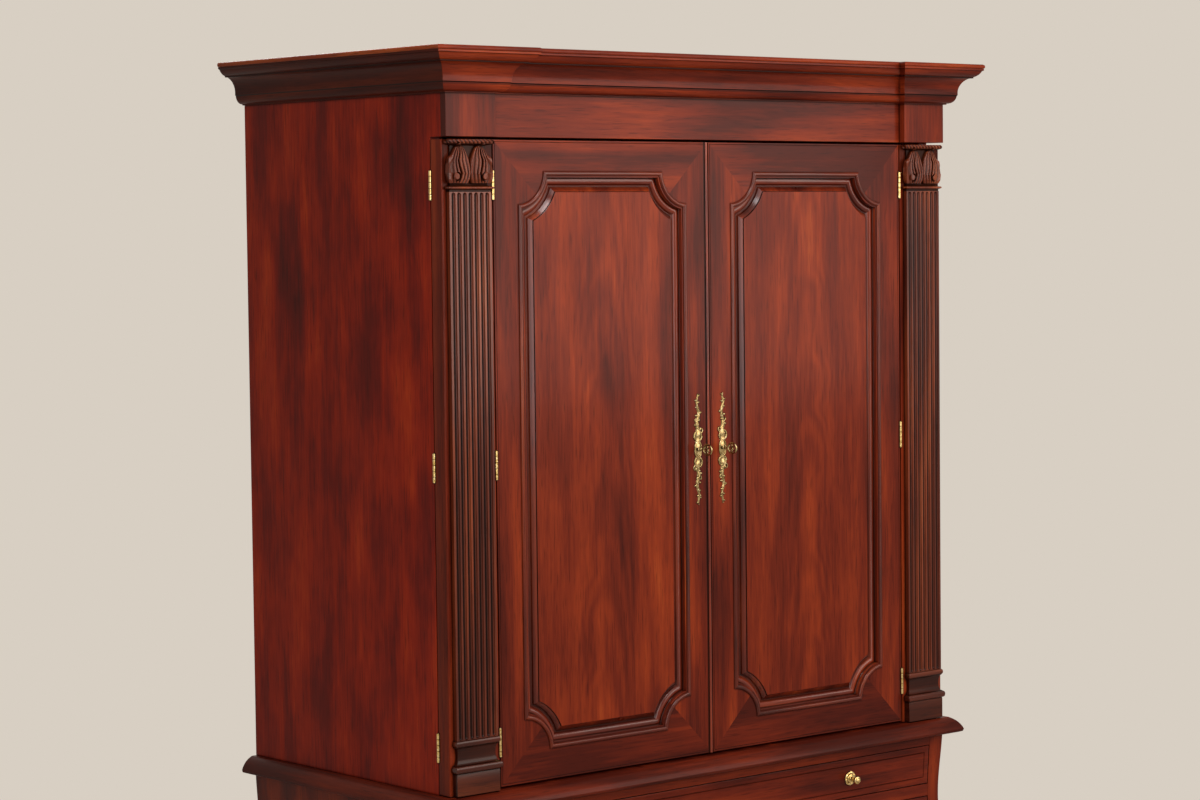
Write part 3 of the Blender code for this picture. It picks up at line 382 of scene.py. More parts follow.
def pressed_steel():
    """Dull steel sheet with fine rolling marks."""
    material, tree = new_material("lock_steel")
    place = add(tree, "ShaderNodeTexCoord").outputs["Object"]
    drawn = add(tree, "ShaderNodeMapping", {"Vector": place, "Scale": ROLLING})
    marks = add(tree, "ShaderNodeTexNoise", {"Vector": drawn, "Scale": 1.0, "Detail": 2.0})
    colour = add(tree, "ShaderNodeValToRGB", {"Fac": marks},
                 [(0.3, "#6B6863"), (0.7, "#8E8A83")])
    rough = add(tree, "ShaderNodeMapRange", {"Value": marks, "From Min": 0.3, "From Max": 0.7,
                                             "To Min": 0.38, "To Max": 0.52})
    shader = add(tree, "ShaderNodeBsdfPrincipled",
                 {"Base Color": colour, "Roughness": rough, "Metallic": 1.0})
    add(tree, "ShaderNodeOutputMaterial", {"Surface": shader})
    return material


brass = cast_brass("polished_brass", [(0.30, "#B9964F"), (0.55, "#D9BD80"), (0.75, "#F0DCAC")])
aged_brass = cast_brass("polished_brass.aged",
                        [(0.30, "#8A7248"), (0.55, "#B09A6A"), (0.75, "#D8C69B")])
steel = pressed_steel()
print("metals:", brass.name, steel.name)

# %% [markdown]
# ## A builder for shapes
# Nearly every wooden piece here is a skin over rows of points: a moulding swept round a case,
# a swelling board lofted from level to level, a panel's hollow corners nested inside each
# other. One small class collects such skins, and notes for each face the grain and the board
# that it belongs to. Soft edges come from a bevel afterwards, because a sharp edge on real
# wood is always rubbed a little round, and it is the round edge that catches the light.

# %% Shape builder
BEVEL_ANGLE = 40              # edges sharper than this, in degrees, are rubbed round


def new_object(name, points, faces):
    """A mesh object in the scene."""
    data = bpy.data.meshes.new(name)
    data.from_pydata([tuple(p) for p in points], [], faces)
    thing = bpy.data.objects.new(name, data)
    bpy.context.scene.collection.objects.link(thing)
    return thing


class Shape:
    """Points and faces of one piece, with the grain, board and glaze of each face."""

    def __init__(self):
        self.points, self.faces, self.looks = [], [], []

    def skin(self, rows, ring=True, closed=False, caps=True, grain=ALONG_Z, board=0.0,
             glaze_and_shade=0.0):
        """Join rows of equal length; the looks may be functions of row and column."""
        start, wide, count = len(self.points), len(rows[0]), len(rows)
        for row in rows:
            self.points.extend(row)

        def add_face(corners, i, j):
            self.faces.append(corners)
            self.looks.append([value(i, j) if callable(value) else value
                               for value in (grain, board, glaze_and_shade)])

        for i in range(count if closed else count - 1):
            for j in range(wide if ring else wide - 1):
                near, far = start + i * wide, start + (i + 1) % count * wide
                k = (j + 1) % wide
                add_face((near + j, near + k, far + k, far + j), i, j)
        if caps and ring and not closed:
            for i, first in ((0, start), (count - 2, start + (count - 1) * wide)):
                add_face(tuple(range(first, first + wide)), i, 0)
        return self

    def make(self, name, material, body, stands_for=(), smooth=None, soft=0.0):
        """Turn the shape into a piece that rides on a body."""
        piece = new_object(name, self.points, self.faces)
        mesh = bmesh.new()
        mesh.from_mesh(piece.data)
        grain = mesh.faces.layers.float_vector.new("grain")
        board = mesh.faces.layers.float.new("board")
        glaze_and_shade = mesh.faces.layers.float.new("glaze_and_shade")
        mesh.faces.ensure_lookup_table()
        for face, look in zip(mesh.faces, self.looks):
            face[grain], face[board], face[glaze_and_shade] = look
        bmesh.ops.remove_doubles(mesh, verts=mesh.verts, dist=1e-6)
        bmesh.ops.recalc_face_normals(mesh, faces=mesh.faces)
        mesh.to_mesh(piece.data)
        mesh.free()
        piece.data.materials.append(material)
        if smooth is not None:
            piece.data.shade_smooth()
            piece.data.set_sharp_from_angle(angle=math.radians(smooth))
        if soft:
            soften(piece, soft)
        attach(piece, body)
        if stands_for:
            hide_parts(*stands_for)
        return piece


def soften(piece, width):
    """Rub a piece's sharp edges round."""
    bevel = piece.modifiers.new("rubbed_edges", "BEVEL")
    bevel.width, bevel.segments = width, 2
    bevel.limit_method, bevel.angle_limit = "ANGLE", math.radians(BEVEL_ANGLE)
    bevel.harden_normals = True


def cut(piece, shape):
    """Cut a shape out of a piece for good."""
    cutter = new_object("cutter", shape.points, shape.faces)
    mesh = bmesh.new()
    mesh.from_mesh(cutter.data)
    bmesh.ops.recalc_face_normals(mesh, faces=mesh.faces)
    mesh.to_mesh(cutter.data)
    mesh.free()
    step = piece.modifiers.new("cut", "BOOLEAN")
    step.operation, step.solver, step.object = "DIFFERENCE", "EXACT", cutter
    bpy.context.view_layer.update()
    shown = piece.evaluated_get(bpy.context.evaluated_depsgraph_get())
    data = bpy.data.meshes.new_from_object(shown)
    data.name = piece.data.name
    piece.modifiers.clear()
    piece.data = data
    bpy.data.objects.remove(cutter)


def bow(start, end, rise, steps):
    """Points on a circular arc that stands off its chord by rise, to the left of the chord."""
    start, end = Vector(start), Vector(end)
    chord = (end - start).length
    radius = (chord * chord / 4 + rise * rise) / (2 * abs(rise))
    half = math.asin(min(1.0, chord / 2 / radius))
    way = (end - start) / chord
    left = Vector((-way.y, way.x)) * math.copysign(1, rise)
    middle = (start + end) / 2 + left * (abs(rise) - radius)
    angles = [half * (2 * i / steps - 1) for i in range(steps + 1)]
    return [tuple(middle + (way * math.sin(angle) + left * math.cos(angle)) * radius)
            for angle in angles]


def circle(centre, wide, high, sides, axis=2, start=0.0):
    """Points round an ellipse that faces along axis 0, 1 or 2, from start of a full turn."""
    across, up = [way for way in range(3) if way != axis]
    points = []
    for k in range(sides):
        angle = math.tau * (k / sides + start)
        point = list(centre)
        point[across] += wide * math.cos(angle)
        point[up] += high * math.sin(angle)
        points.append(tuple(point))
    return points


def lathe(shape, centre, profile, sides, axis=2, start=0.0):
    """Add a turned form; its profile is (place along the axis, radius) points."""
    rows = []
    for along, radius in profile:
        middle = list(centre)
        middle[axis] = along
        rows.append(circle(middle, radius, radius, sides, axis, start))
    return shape.skin(rows)


def scaled(points, wide, high):
    """Points given as shares of a width and a height, at their real size."""
    return [(x * wide, y * high) for x, y in points]


def spread(low, high, steps):
    """Evenly spaced values from low to high."""
    return [low + (high - low) * i / steps for i in range(steps + 1)]


def limits(node):
    """A node's lowest and highest place along X, Y and Z."""
    return list(zip(*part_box(node)))


print("the frieze's limits:", [[round(v, 3) for v in pair] for pair in limits("frieze")])

# %% [markdown]
# ## Cabinet top: cornice, frieze and top board
# A cornice is run in lengths and mitred at every corner. This one breaks forward over each
# pilaster, so it has seven lengths. The section is drawn once and carried from corner to
# corner, and each length gets the grain of its own board. The shine then changes at each
# mitre, as it does on the real one.

# %% Cabinet outline and board helper
CASE_RUNS = [ALONG_Y, ALONG_X] * 4      # the grain of each length round the case


def case_outline(out):
    """Plan of the cabinet's top, grown by out, with its steps forward over the pilasters."""
    wide, inner = HALF_WIDTH + out, PILASTER_INNER - out
    proud, level = FRONT - BLOCK_PROUD - out, FRONT - out
    half = [(wide, BACK), (wide, proud), (inner, proud), (inner, level)]
    return half + [(-x, y) for x, y in reversed(half)]


def plank(shape, x, y, z, grain=ALONG_Z, board=0.0):
    """Add a straight board between two limits on each axis."""
    return shape.skin([[(x[0], y[0], level), (x[1], y[0], level), (x[1], y[1], level),
                        (x[0], y[1], level)] for level in z], grain=grain, board=board)


def wooden(name, x, y, z, grain, board, node, wood=polished, soft=0.8 * MM):
    """A straight board of the case as a piece of its own."""
    return plank(Shape(), x, y, z, grain, board).make(name, wood, "case", [node], soft=soft)


print("cabinet outline:", len(case_outline(0)), "corners")

# %% Cornice, top board and frieze
CORNICE_REACH = cornice_high.x - HALF_WIDTH
CORNICE_HEIGHT = CASE_TOP - CORNICE_BOTTOM
LEFT_RUN = 6                  # the length over the left side, which gets painted shade on the cornice
# Painted shade and glaze in the grooves between mouldings, by the section's point below each
# strip.
CORNICE_QUIRKS = {2: 0.9, 3: 0.5, 11: 0.5, 12: 0.95, 27: 0.9, 28: 0.9, 36: 0.7}


def cornice_section():
    """The cornice's section: foot, ovolo, hollow, fillet, bevel and nose."""
    face = [(0.086, 0.0), (0.086, 0.028)]
    face += bow((0.103, 0.028), (0.336, 0.239), -0.060, 9)
    face += bow((0.362, 0.268), (0.645, 0.728), 0.095, 14)
    face += [(0.743, 0.728)] + bow((0.743, 0.761), (0.955, 0.930), -0.028, 7) + [(1.0, 0.941)]
    top = CORNICE_HEIGHT - GAP
    return [(GAP, 0.0)] + scaled(face, CORNICE_REACH, CORNICE_HEIGHT) + [
        (CORNICE_REACH, top), (GAP, top)]


def make_cabinet_top():
    """The mitred cornice, the thin top board above it, and the frieze with its end blocks."""
    section = cornice_section()
    columns = [case_outline(out) for out, _ in section]
    rows = [[(*column[i], CORNICE_BOTTOM + up) for column, (_, up) in zip(columns, section)]
            for i in range(len(columns[0]))]
    # The left run takes a darker stain and painted shade, which stand for the deep shadow it lies
    # in.
    Shape().skin(
        rows, grain=lambda i, j: CASE_RUNS[i],
        board=lambda i, j: i + (0.3 if i == LEFT_RUN else 0.5),
        glaze_and_shade=lambda i, j: max(CORNICE_QUIRKS.get(j, 0.0), 0.62 if i == LEFT_RUN else 0.0),
    ).make("cornice_moulding", polished, "case", ["cornice"], smooth=26, soft=0.5 * MM)
    reach, thick = top_high.x - HALF_WIDTH, top_high.z - CASE_TOP
    edge = [(-0.19, 0.0), (-0.02, 0.19), (0.0, 0.4), (-0.02, 0.62), (-0.10, 0.82), (-0.37, 1.0)]
    rows = [[(x, y, CASE_TOP + thick * up) for x, y in case_outline(reach + thick * out)]
            for out, up in edge]
    # The top board's left run takes the lightest stain, a painted highlight along its edge.
    Shape().skin(
        rows, grain=lambda i, j: CASE_RUNS[j],
        board=lambda i, j: 10 + j + (0.98 if j == LEFT_RUN else 0.5),
    ).make("cabinet_top_board", polished, "case", ["top_board"], smooth=40)
    z = (frieze_low.z, CASE_TOP - GAP)
    end = CASE_INSIDE - GAP
    wooden("frieze_board", (-end, end), (FRONT, frieze_high.y), z, ALONG_X, 20.36, "frieze")
    for name, side in SIDES.items():
        wooden(f"frieze_block_{name}", (side * PILASTER_INNER, side * HALF_WIDTH),
               (FRONT - BLOCK_PROUD, FRONT - HAIR), z, ALONG_Z, 22.25 + side, "frieze")


make_cabinet_top()
print("cornice", round(CORNICE_REACH / MM, 1), "by", round(CORNICE_HEIGHT / MM, 1), "mm")

# %% [markdown]
# ## Cabinet sides, back and inside
# The sides are wide boards that stand on end, so their grain is upright. A notch in each front
# edge makes room for the knuckles of the hinges. The back is made of narrow boards, because a
# single board that wide would warp and split.

# %% Cabinet carcass
HINGE_LENGTH = 52 * MM
HINGE_RADIUS = 3 * MM
HINGE_ROOM = 0.7 * MM         # clearance round a knuckle
STILE_THICK = 30 * MM
BACK_JOINT = 0.4 * MM         # fine joints between the boards of a back
hinge_levels = {level: sum(limits(f"door_hinge_right_{level}")[2]) / 2
                for level in ("top", "middle", "bottom")}
DOOR_AXIS = ((PILASTER_INNER + DOOR_OUTER) / 2, FRONT - GAP)
CASE_AXIS = (HALF_WIDTH + GAP, (FRONT + STILE_THICK + CASE_FRONT) / 2)
RAIL_FLANGE = [(0.0, 27.0), (1.2, 28.0), (3.4, 28.0), (5.0, 26.2), (6.0, 22.0), (6.6, 16.5),
               (8.6, 15.4), (10.6, 14.6), (11.0, 12.5)]      # (in from the end, radius) in mm


def rod(shape, centre, axis, radius, length):
    """Add a round rod along axis 0, 1 or 2."""
    ends = [(centre[axis] + length * end, radius) for end in (-0.5, 0.5)]
    return lathe(shape, centre, ends, 20, axis, 0.125)


def hinge_room(side, axis):
    """The room that the knuckles of one line of hinges need."""
    shape = Shape()
    for level in hinge_levels.values():
        rod(shape, (side * axis[0], axis[1], level), 2, HINGE_RADIUS + HINGE_ROOM,
            HINGE_LENGTH + 2 * HINGE_ROOM)
    return shape


def back_boards(name, node, number):
    """A back of eight upright boards side by side."""
    x, y, z = limits(node)
    marks = spread(*x, 8)
    shape = Shape()
    for i, (left, right) in enumerate(zip(marks, marks[1:])):
        plank(shape, (left, right - BACK_JOINT), y, z, board=number + 1.1 * i)
    shape.make(name, plain, "case", [node], soft=1.2 * MM)


def make_carcass():
    """Sides, back boards, floor, shelf and hanging rail."""
    low, top = side_low.z, CASE_TOP - GAP
    outline = [(CASE_FRONT, low), (BACK, low), (BACK, top), (FRONT, top),
               (FRONT, frieze_low.z), (CASE_FRONT, frieze_low.z)]
    for name, side in SIDES.items():
        rows = [[(side * x, y, z) for y, z in outline] for x in (CASE_INSIDE, HALF_WIDTH)]
        panel = Shape().skin(rows, board=25.6 + side).make(
            f"cabinet_side_{name}", clouded, "case", [f"upper_side_{name}"])
        cut(panel, hinge_room(side, CASE_AXIS))
        soften(panel, 0.6 * MM)
    back_boards("cabinet_back_boards", "upper_back", 30.2)
    wooden("cabinet_floor", *limits("upper_floor"), ALONG_X, 31.5, "upper_floor", plain)
    wooden("hat_shelf_board", *limits("hat_shelf"), ALONG_X, 33.1, "hat_shelf", plain,
           2.5 * MM)
    (left, right), y, z = limits("hanging_rail")
    profile = [(left + into * MM, radius * MM) for into, radius in RAIL_FLANGE]
    profile += [(right - into * MM, radius * MM) for into, radius in reversed(RAIL_FLANGE)]
    lathe(Shape(), (0.0, sum(y) / 2, sum(z) / 2), profile, 40, axis=0).make(
        "hanging_rail_tube", brass, "case", ["hanging_rail"], smooth=30)


make_carcass()
print("carcass front at y =", round(CASE_FRONT, 4), "hinges at", list(hinge_levels.values()))

# %% [markdown]
# ## Doors
# Each door is a frame of four mitred members round a raised and fielded panel: a board whose
# middle comes almost as far forward as the frame, with a bevel that falls away round it into a
# deep channel. The moulding between them is planed in straight lengths and turned in curved
# ones for the hollow corners, so it is mitred where each curve begins. All of it is made of
# nested loops with the same number of points, one loop for each line of the section.

# %% Door frames and panels
PANEL_MARGIN = 54 * MM
CORNER_RADIUS = 59 * MM
MOULDING_WIDTH = 28 * MM
MOULDING_PROUD = 3.7 * MM
PANEL_LAP = 10 * MM
EDGE_DEPTH = 14 * MM          # from the door's face to the panel's thin edge
EDGE_THICK = 6 * MM
BEVEL_WIDTH = 9.2 * MM
BEVEL_FOOT = 9.6 * MM         # where the bevel starts, above the channel's floor
FIELD_STEP = 2.4 * MM         # the raised field's own edge above the bevel
FIELD_DEPTH = 1.8 * MM        # from the door's face to the field
CORNER_STEPS = 16
DOOR_HALF = ((DOOR_OUTER - DOOR_INNER) / 2, (DOOR_TOP - DOOR_BOTTOM) / 2)
DOOR_CENTRE = ((DOOR_OUTER + DOOR_INNER) / 2, (DOOR_TOP + DOOR_BOTTOM) / 2)
QUIRK_IN = 4 * MM             # fine groove just inside a door's edges
QUIRK_WIDTH, QUIRK_DEPTH = 0.9 * MM, 0.7 * MM
FRAME_UNDER = 12 * MM         # how far the frame's members reach in under the moulding
REBATE_DEPTH = 1.2 * MM       # of the frame's front lip that carries the moulding
KEYHOLE_RADIUS = 3.1 * MM
BEAD_WIDTH, BEAD_PROUD = 7 * MM, 3 * MM     # of the bead on the doors' meeting edge
BEAD_QUIRK = 3 * MM           # dark line beside that bead, with painted shade and glaze
# Stain of each member: top, right, bottom, left. The bottom rails' low stain paints the shade that
# falls towards the foot of the doors.
DOOR_STAIN = {"left": (0.38, 0.34, 0.05, 0.32), "right": (0.12, 0.32, 0.0, 0.36)}
KEY_X = sum(limits("key_right")[0]) / 2
PLATE_BOTTOM, PLATE_TOP = limits("escutcheon_right")[2]
KEY_Z = (PLATE_BOTTOM + PLATE_TOP) / 2


def mirrored(centre, arc, depth):
    """One corner's (x, z) points, mirrored to all four corners of a door."""
    loop = []
    for sx, sz in ((1, 1), (1, -1), (-1, -1), (-1, 1)):
        corner = [(centre[0] + sx * x, FRONT + depth, centre[1] + sz * z) for x, z in arc]
        loop += corner if sx * sz > 0 else reversed(corner)
    return loop


def hollow_loop(centre, inset, depth):
    """The panel's outline with its hollow corners, moved inwards by inset."""
    half_x, half_z = DOOR_HALF[0] - PANEL_MARGIN, DOOR_HALF[1] - PANEL_MARGIN
    radius = CORNER_RADIUS + inset
    lean = math.asin(inset / radius)
    return mirrored(centre, [(half_x - radius * math.cos(angle), half_z - radius * math.sin(angle))
                             for angle in spread(lean, math.pi / 2 - lean, CORNER_STEPS)], depth)


def edge_loop(centre, inset, depth):
    """The door's rectangular outline, with points that match those of the hollow corners."""
    half_x, half_z = DOOR_HALF[0] - inset, DOOR_HALF[1] - inset
    near_x, near_z = [half - PANEL_MARGIN - CORNER_RADIUS for half in DOOR_HALF]
    return mirrored(centre, [(near_x + (half_x - near_x) * min(1.0, share),
                              near_z + (half_z - near_z) * min(1.0, 2.0 - share))
                             for share in spread(0.0, 2.0, CORNER_STEPS)], depth)


def door_member(column):
    """Which member of the frame a column belongs to: top, right, bottom or left."""
    corner, place = divmod(column, CORNER_STEPS + 1)
    return (corner + (place >= CORNER_STEPS // 2)) % 4


def moulding_length(column):
    """Which of the moulding's eight lengths a column belongs to; the even ones are curved."""
    corner, place = divmod(column, CORNER_STEPS + 1)
    return 2 * corner + (place == CORNER_STEPS)


def moulding_grain(column):
    """The grain of a length of moulding. Curved lengths are sawn from diagonal blocks."""
    ways = (Vector((1, 0, -1)).normalized(), ALONG_Z, Vector((1, 0, 1)).normalized(), ALONG_X)
    return ways[moulding_length(column) % 4]


def with_glaze_and_shade(points, glaze_and_shade):
    """Section points with the painted shade and glaze on the strip that begins at each."""
    return [(*point, glaze_and_shade) for point in points]


def moulding_section():
    """Panel moulding: quirk, roll, fillet, swell and lip, as (inset, depth, glaze and shade)
    points.
    """
    wide, proud, deep = MOULDING_WIDTH, MOULDING_PROUD, EDGE_DEPTH
    roll = bow((0.03 * wide, 0.08 * proud), (0.33 * wide, 0.08 * proud), -1.06 * proud, 16)
    swell = bow((0.485 * wide, 0.66 * deep), (0.90 * wide, 0.91 * deep), -0.08 * wide, 12)
    quirk = scaled([(0.0, 0.0), (0.004, 0.0), (0.018, 0.25)], wide, proud)
    fillet = [(0.332, 0.47, 0.8), (0.343, 0.53, 0.6), (0.355, 0.50, 0.1), (0.455, 0.50, 0.6),
              (0.468, 0.53, 0.8), (0.472, 0.70, 0.4)]
    lip = scaled([(0.93, 0.97), (0.97, 0.93), (0.995, 0.93), (1.0, 0.95)], wide, deep)
    # The glaze and shade values paint shade into the quirk, fillet and channel, and darken and
    # dull the roll.
    return (with_glaze_and_shade(quirk, 0.9) + with_glaze_and_shade(roll[:2], 0.5) + with_glaze_and_shade(roll[2:-3], 0.32)
            + with_glaze_and_shade(roll[-3:], 0.5)
            + [(inset * wide, depth * deep, glaze_and_shade) for inset, depth, glaze_and_shade in fillet]
            + with_glaze_and_shade(swell[:10], 0.10) + with_glaze_and_shade(swell[10:], 0.45)
            + with_glaze_and_shade(lip + [(wide, deep - HAIR)], 0.45))


def panel_section():
    """The fielded panel from its hidden edge to its field, as (inset, depth, glaze and shade)
    points.
    """
    edge = MOULDING_WIDTH + GAP
    hidden = edge - PANEL_LAP
    field = edge + BEVEL_WIDTH
    top = FIELD_DEPTH + FIELD_STEP
    foot = edge + 0.28 * BEVEL_WIDTH
    # Painted shade and glaze lie heaviest at the bevel's foot and on the field's edge, lightest
    # near its top.
    bevel = [(foot + (field - foot) * t, BEVEL_FOOT + (top - BEVEL_FOOT) * t, glaze_and_shade)
             for t, glaze_and_shade in ((0.0, 0.5), (0.15, 0.40), (0.5, 0.15), (0.85, 0.05), (1.0, 1.0))]
    return (with_glaze_and_shade([(hidden, EDGE_DEPTH + EDGE_THICK), (hidden, EDGE_DEPTH),
                        (edge, EDGE_DEPTH), (foot - 0.6 * MM, EDGE_DEPTH - MM)], 0.45)
            + bevel
            + [(field + 0.1 * MM, top + 0.5 * MM, 1.0), (field + 0.4 * MM, top + 0.3 * MM, 0.9),
               (field + 0.8 * MM, FIELD_DEPTH + 0.3 * MM, 0.3),
               (field + 1.2 * MM, FIELD_DEPTH, 0.0)])


def make_frame(name, side, centre):
    """The frame's four mitred members and the moulding applied to them."""
    quirk = [(0.0, 0.0), (QUIRK_IN - QUIRK_WIDTH, 0.0), (QUIRK_IN - QUIRK_WIDTH / 2, QUIRK_DEPTH),
             (QUIRK_IN, 0.0)]
    rows = [edge_loop(centre, inset, depth) for inset, depth in [(0.0, DOOR_THICK)] + quirk]
    rows += [hollow_loop(centre, FRAME_UNDER, depth) for depth in (0.0, DOOR_THICK)]
    # The faces of the fine groove get painted shade and glaze.
    members = Shape().skin(
        rows, closed=True, grain=lambda i, j: (ALONG_X, ALONG_Z)[door_member(j) % 2],
        board=lambda i, j: 50 + 5 * side + door_member(j) + DOOR_STAIN[name][door_member(j)],
        glaze_and_shade=lambda i, j: 0.9 if i in (2, 3) else 0.0,
    ).make(f"door_{name}_frame", polished, f"door_{name}", [f"door_frame_{name}"])
    cut(members, hinge_room(side, DOOR_AXIS))
    cut(members, rod(Shape(), (side * KEY_X, DOOR_BACK, KEY_Z), 1, KEYHOLE_RADIUS, 80 * MM))
    soften(members, 0.4 * MM)
    rebate, under = MOULDING_WIDTH - PANEL_LAP, FRAME_UNDER + HAIR
    section = moulding_section() + with_glaze_and_shade([
        (rebate, EDGE_DEPTH - HAIR), (rebate, DOOR_THICK), (under, DOOR_THICK),
        (under, REBATE_DEPTH), (0.0, REBATE_DEPTH)], 0.0)
    Shape().skin([hollow_loop(centre, inset, depth) for inset, depth, _ in section],
                 closed=True, grain=lambda i, j: moulding_grain(j),
                 board=lambda i, j: 70 + 9 * side + moulding_length(j) + 0.45,
                 glaze_and_shade=lambda i, j: section[i][2]).make(
        f"door_{name}_moulding", moulded, f"door_{name}", [f"door_frame_{name}"], smooth=24)


def make_panel(name, side, centre):
    """The panel's bevel, with its hidden edge, and its raised field."""
    section = panel_section()
    field = section[-1][0]
    section.append((field, EDGE_DEPTH + EDGE_THICK, 0.0))
    Shape().skin([hollow_loop(centre, inset, depth) for inset, depth, _ in section],
                 closed=True, board=90.45 + 3 * side, glaze_and_shade=lambda i, j: section[i][2]).make(
        f"door_{name}_panel_bevel", moulded, f"door_{name}", [f"door_panel_{name}"], smooth=24)
    rows = [hollow_loop(centre, field + HAIR, depth) for depth in (FIELD_DEPTH, EDGE_DEPTH)]
    Shape().skin(rows, board=90.5 + 3 * side).make(
        f"door_{name}_panel_field", figured, f"door_{name}", [f"door_panel_{name}"])


def make_meeting_bead():
    """The bead on the left door that covers the joint between the doors."""
    left = -DOOR_INNER - BEAD_WIDTH
    half = [(left - BEAD_QUIRK, FRONT), (left - BEAD_QUIRK + 0.4 * MM, FRONT - 0.15 * MM)]
    half += bow((left, FRONT), (-DOOR_INNER, FRONT), -BEAD_PROUD, 12)
    Shape().skin([[(x, y, z) for x, y in half] for z in (DOOR_BOTTOM, DOOR_TOP)], board=98.5,
                 glaze_and_shade=lambda i, j: 0.9 if j < 4 or j > len(half) - 3 else 0.0).make(
        "door_left_meeting_bead", moulded, "door_left", ["door_frame_left"], smooth=40)


for name, side in SIDES.items():
    centre = (side * DOOR_CENTRE[0], DOOR_CENTRE[1])
    make_frame(name, side, centre)
    make_panel(name, side, centre)
    if name == "left":
        make_meeting_bead()
print("keys at x =", round(KEY_X, 4), "z =", round(KEY_Z, 4))

# %% [markdown]
# ## Pilasters
# A pilaster is a flat column. Its stile is the board that swings with the door, and on its
# face stands a raised shaft with seven flutes, between a turned-looking base and a carved
# capital. The shaft is a skin over many cross-sections. Each flute is a row of points on an
# arc whose radius shrinks to nothing at the flute's ends, which gives the round stops that a
# carver's gouge leaves.

# %% Stiles and fluted shafts
SHAFT_WIDTH = 93 * MM
SHAFT_PROUD = 10 * MM
FLUTE_COUNT = 7
FLUTE_PITCH = 12.5 * MM
FLUTE_RADIUS = 4.2 * MM
FLUTE_ROUND = 0.92            # depth of a flute as a share of its radius
FLUTE_STEPS = 10
FLUTE_STOP = 1 * MM
STILE_ROUND = 1.8 * MM        # the stile's rubbed outer corner
base_low, base_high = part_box("pilaster_base_right")
capital_low, capital_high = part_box("pilaster_capital_right")
SHAFT_LOW, SHAFT_HIGH = base_high.z, capital_low.z
SHAFT_MIDDLE = (PILASTER_INNER + HALF_WIDTH) / 2
FLUTE_LOW, FLUTE_HIGH = SHAFT_LOW + FLUTE_STOP, SHAFT_HIGH - FLUTE_STOP


def flute_radius(z):
    """Radius of the flutes at a height: full along the shaft, round at both ends."""
    beyond = max(FLUTE_LOW + FLUTE_RADIUS - z, z - (FLUTE_HIGH - FLUTE_RADIUS), 0.0)
    return math.sqrt(max(FLUTE_RADIUS ** 2 - min(beyond, FLUTE_RADIUS) ** 2, (0.06 * MM) ** 2))


def flute_glaze_and_shade(i, j):
    """Painted shade and glaze in the bottom of each flute."""
    place = (j - 2) % (FLUTE_STEPS + 1)
    if j < 2 or j > 1 + (FLUTE_STEPS + 1) * FLUTE_COUNT or place == FLUTE_STEPS:
        return 0.0
    depth = math.sin(math.pi * (place + 0.5) / FLUTE_STEPS)
    return min(1.0, max(0.0, (depth - 0.70) / 0.25))


def make_shaft(name, side):
    """The raised shaft with its flutes."""
    front = FRONT - SHAFT_PROUD
    near, far = [side * SHAFT_MIDDLE + way * SHAFT_WIDTH / 2 for way in (-1, 1)]
    stops = [FLUTE_RADIUS * (1 - math.sin(math.radians(a))) for a in (90, 75, 60, 45, 30, 15, 0)]
    heights = [SHAFT_LOW, FLUTE_LOW - 0.2 * MM] + [FLUTE_LOW + s for s in stops]
    heights += [FLUTE_HIGH - s for s in reversed(stops)] + [FLUTE_HIGH + 0.2 * MM, SHAFT_HIGH]
    rows = []
    for z in heights:
        radius = flute_radius(z)
        row = [(near, FRONT, z), (near, front, z)]
        for i in range(FLUTE_COUNT):
            middle = side * SHAFT_MIDDLE + (i - (FLUTE_COUNT - 1) / 2) * FLUTE_PITCH
            row += [(middle + radius * math.cos(angle),
                     front + FLUTE_ROUND * radius * math.sin(angle), z)
                    for angle in spread(math.pi, 0.0, FLUTE_STEPS)]
        rows.append(row + [(far, front, z), (far, FRONT, z)])
    Shape().skin(rows, board=102.5 + side, glaze_and_shade=flute_glaze_and_shade).make(
        f"pilaster_shaft_{name}", carved, f"pilaster_{name}", [f"pilaster_stile_{name}"],
        smooth=35)


def make_stile(name, side):
    """The plain board that carries the shaft and the hinges."""
    corner = [(side * (HALF_WIDTH - STILE_ROUND * (1 - math.sin(a))),
               FRONT + STILE_ROUND * (1 - math.cos(a))) for a in spread(0.0, math.pi / 2, 5)]
    outline = [(side * PILASTER_INNER, FRONT)] + corner + [
        (side * HALF_WIDTH, stile_high.y), (side * PILASTER_INNER, stile_high.y)]
    rows = [[(x, y, z) for x, y in outline]
            for z in (stile_low.z, capital_low.z + 4 * MM, DOOR_TOP)]
    # The stile's face beside the capital gets painted shade.
    stile = Shape().skin(rows, board=106.5 + 2 * side,
                         glaze_and_shade=lambda i, j: 0.65 if (i, j) == (1, 0) else 0.0).make(
        f"pilaster_board_{name}", polished, f"pilaster_{name}", [f"pilaster_stile_{name}"],
        smooth=30)
    cut(stile, hinge_room(side, CASE_AXIS))
    cut(stile, hinge_room(side, DOOR_AXIS))


for name, side in SIDES.items():
    make_stile(name, side)
    make_shaft(name, side)
print("shafts from", round(SHAFT_LOW, 4), "to", round(SHAFT_HIGH, 4))

# %% [markdown]
# ## Capitals and bases
# The capital is a block carved with two tall leaves side by side, under a band of slanted
# lozenges. Carving like this is a height field: for each point of the block a function says
# how far it was left standing. The leaf is shaped like a flame, with ribs that run together
# towards its tip, a deep winding vein up its middle and a small curl beside its foot.

# %% Carved capitals and moulded bases
CAPITAL_HEIGHT = capital_high.z - capital_low.z
BASE_HEIGHT = base_high.z - base_low.z
ORNAMENT_PROUD = 6 * MM       # how far the highest moulding stands out beyond the shaft


def lookup(points, place):
    """Read a value off a line of (place, value) points."""
    for (a, low), (b, high) in zip(points, points[1:]):
        if place <= b:
            share = (place - a) / (b - a)
            return low + (high - low) * share
    return points[-1][1]


